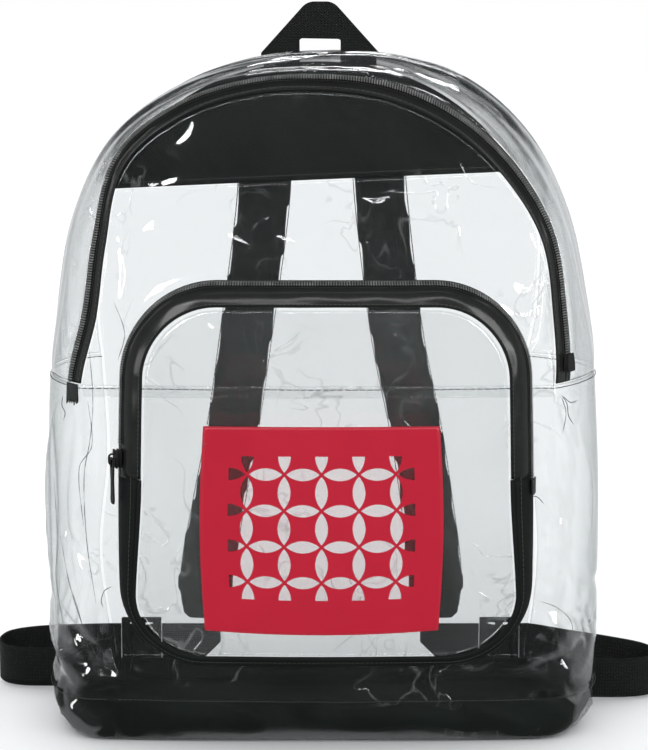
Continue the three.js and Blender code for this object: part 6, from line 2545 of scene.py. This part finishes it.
@dataclass
class Studio:
    """Pale floor, soft light and the camera."""

    form: BagForm
    distance: float = 1286.0
    height: float = 399.6
    pitch: float = 8.40
    focal: float = 2142.0
    frame_height: float = 750.0

    def floor(self) -> None:
        """A wide plain pale floor."""
        shade = Shade("pale floor")
        soft = shade.noise(shade.place(False), 1.5, 1.0)
        colour = shade.mix(soft, (0.97, 0.97, 0.97), (0.98, 0.98, 0.98))
        material = shade.done(shade.principled(Base_Color=colour, Roughness=0.8, Specular_IOR_Level=0.0))
        corners = [(-60000, -60000, 0), (60000, -60000, 0), (60000, 60000, 0), (-60000, 60000, 0)]
        floor = make_object("floor", np.array(corners, float), [(0, 1, 2, 3)], smooth=False)
        floor.data.materials.append(material)
        floor.visible_glossy = False

    def camera(self) -> None:
        """The camera, at the photo's height, distance and pitch."""
        data = bpy.data.cameras.new("camera")
        data.sensor_width = 36.0
        data.lens = self.focal / self.frame_height * 36.0
        data.clip_start, data.clip_end = 0.05, 300.0
        camera = bpy.data.objects.new("camera", data)
        place = self.form.moved([2.4, -self.distance, self.height]) * MM
        camera.location = place.tolist()
        camera.rotation_euler = (math.radians(90 - self.pitch), 0, 0)
        bpy.context.scene.collection.objects.link(camera)
        bpy.context.scene.camera = camera

    def lamp(
        self,
        name: str,
        place: Point,
        target: Point,
        size: tuple[float, float],
        power: float,
        lit: bool = False,
    ) -> None:
        """A soft box, mostly for what the vinyl reflects.

        Args:
            name: Name of the lamp.
            place: Where it stands, in metres.
            target: What it faces.
            size: Its width and height, in metres.
            power: Its power, in watts.
            lit: Whether it lights matt surfaces too.
        """
        data = bpy.data.lights.new(name, "AREA")
        data.shape = "RECTANGLE"
        data.size, data.size_y = size
        data.energy = power
        lamp = bpy.data.objects.new(name, data)
        lamp.location = place
        lamp.visible_diffuse = lit
        lamp.rotation_euler = (Vector(target) - Vector(place)).to_track_quat("-Z", "Y").to_euler()
        bpy.context.scene.collection.objects.link(lamp)

    def world(self) -> None:
        """An even pale room, dimmer in what it reflects."""
        world = bpy.data.worlds.new("room")
        bpy.context.scene.world = world
        world.use_nodes = True
        tree = world.node_tree
        tree.nodes.clear()
        rays = tree.nodes.new("ShaderNodeLightPath")
        out = tree.nodes.new("ShaderNodeOutputWorld")
        levels = {"seen": 1.0, "lit": 1.2, "front": 0.025, "round": 0.84, "above": 0.04}
        rooms = {}
        for name, level in levels.items():
            rooms[name] = tree.nodes.new("ShaderNodeBackground")
            rooms[name].inputs["Color"].default_value = (0.97 * level, 0.985 * level, level, 1)
        rooms["seen"].inputs["Color"].default_value = (1, 1, 1, 1)
        way = tree.nodes.new("ShaderNodeTexCoord")
        parts = tree.nodes.new("ShaderNodeSeparateXYZ")
        turn = tree.nodes.new("ShaderNodeMapRange")
        turn.interpolation_type = "SMOOTHSTEP"
        turn.inputs["From Min"].default_value, turn.inputs["From Max"].default_value = -0.72, -0.05
        mirrored = tree.nodes.new("ShaderNodeMixShader")
        tree.links.new(way.outputs["Generated"], parts.inputs[0])
        tree.links.new(parts.outputs["Y"], turn.inputs["Value"])
        tree.links.new(turn.outputs["Result"], mirrored.inputs[0])
        tree.links.new(rooms["front"].outputs[0], mirrored.inputs[1])
        tree.links.new(rooms["round"].outputs[0], mirrored.inputs[2])
        glossy, seen = tree.nodes.new("ShaderNodeMixShader"), tree.nodes.new("ShaderNodeMixShader")
        tree.links.new(rays.outputs["Is Glossy Ray"], glossy.inputs[0])
        tree.links.new(rooms["lit"].outputs[0], glossy.inputs[1])
        lift = tree.nodes.new("ShaderNodeMapRange")
        lift.interpolation_type = "SMOOTHSTEP"
        lift.inputs["From Min"].default_value, lift.inputs["From Max"].default_value = 0.12, 0.42
        domed = tree.nodes.new("ShaderNodeMixShader")
        tree.links.new(parts.outputs["Z"], lift.inputs["Value"])
        tree.links.new(lift.outputs["Result"], domed.inputs[0])
        tree.links.new(mirrored.outputs[0], domed.inputs[1])
        tree.links.new(rooms["above"].outputs[0], domed.inputs[2])
        tree.links.new(domed.outputs[0], glossy.inputs[2])
        tree.links.new(rays.outputs["Is Camera Ray"], seen.inputs[0])
        tree.links.new(glossy.outputs[0], seen.inputs[1])
        tree.links.new(rooms["seen"].outputs[0], seen.inputs[2])
        tree.links.new(seen.outputs[0], out.inputs[0])

    def build(self) -> None:
        """Sets up the whole studio."""
        self.floor()
        self.camera()
        self.world()
        self.lamp("left box", (-1.2, -1.75, 1.3), (0, 0, 0.22), (0.75, 0.95), 38)
        self.lamp("right box", (1.35, -1.45, 1.0), (0, 0, 0.2), (0.6, 1.0), 30)
        self.lamp("over box", (0, -1.9, 1.75), (0, 0, 0.2), (2.4, 0.22), 24)
        self.lamp("left low box", (-1.5, -1.25, 0.3), (0, 0, 0.1), (0.25, 0.5), 5)
        self.lamp("right low box", (1.5, -1.25, 0.35), (0, 0, 0.1), (0.3, 0.6), 7)
        self.lamp("top box", (0.1, -0.5, 2.0), (0, 0, 0.2), (1.2, 0.07), 1.6)
        self.lamp("left rear box", (-1.5, 0.4, 1.1), (0, 0, 0.3), (0.07, 1.3), 3)
        self.lamp("right rear box", (1.5, 0.5, 1.2), (0, 0, 0.3), (0.07, 1.3), 3)
        self.lamp("back box", (0.2, 1.7, 1.3), (0, 0, 0.2), (1.0, 0.06), 1.6)
        scene = bpy.context.scene
        scene.view_settings.view_transform = "Standard"
        scene.cycles.transparent_max_bounces = 20
        scene.cycles.max_bounces = 5
        scene.cycles.diffuse_bounces = 2
        scene.cycles.glossy_bounces = 3
        scene.cycles.transmission_bounces = 2
        scene.cycles.caustics_reflective = False
        scene.cycles.use_denoising = True


def main() -> None:
    """Builds every piece in order."""
    logging.basicConfig(level=logging.INFO, format="%(name)s: %(message)s")
    Studio(FORM).build()
    finishes = Finishes()
    VinylBody(FORM, finishes).build()
    FabricBody(FORM, finishes).build()
    sewing = Sewing(FORM, finishes)
    MainZip(FORM, finishes, sewing).build()
    FrontPocket(FORM, POCKET, finishes, sewing).build()
    Carry(FORM, finishes, sewing).build()
    Seams(FORM, finishes, sewing).build()
    CreaseShadeAndThreads(FORM, finishes).build()


if __name__ == "__main__":
    main()
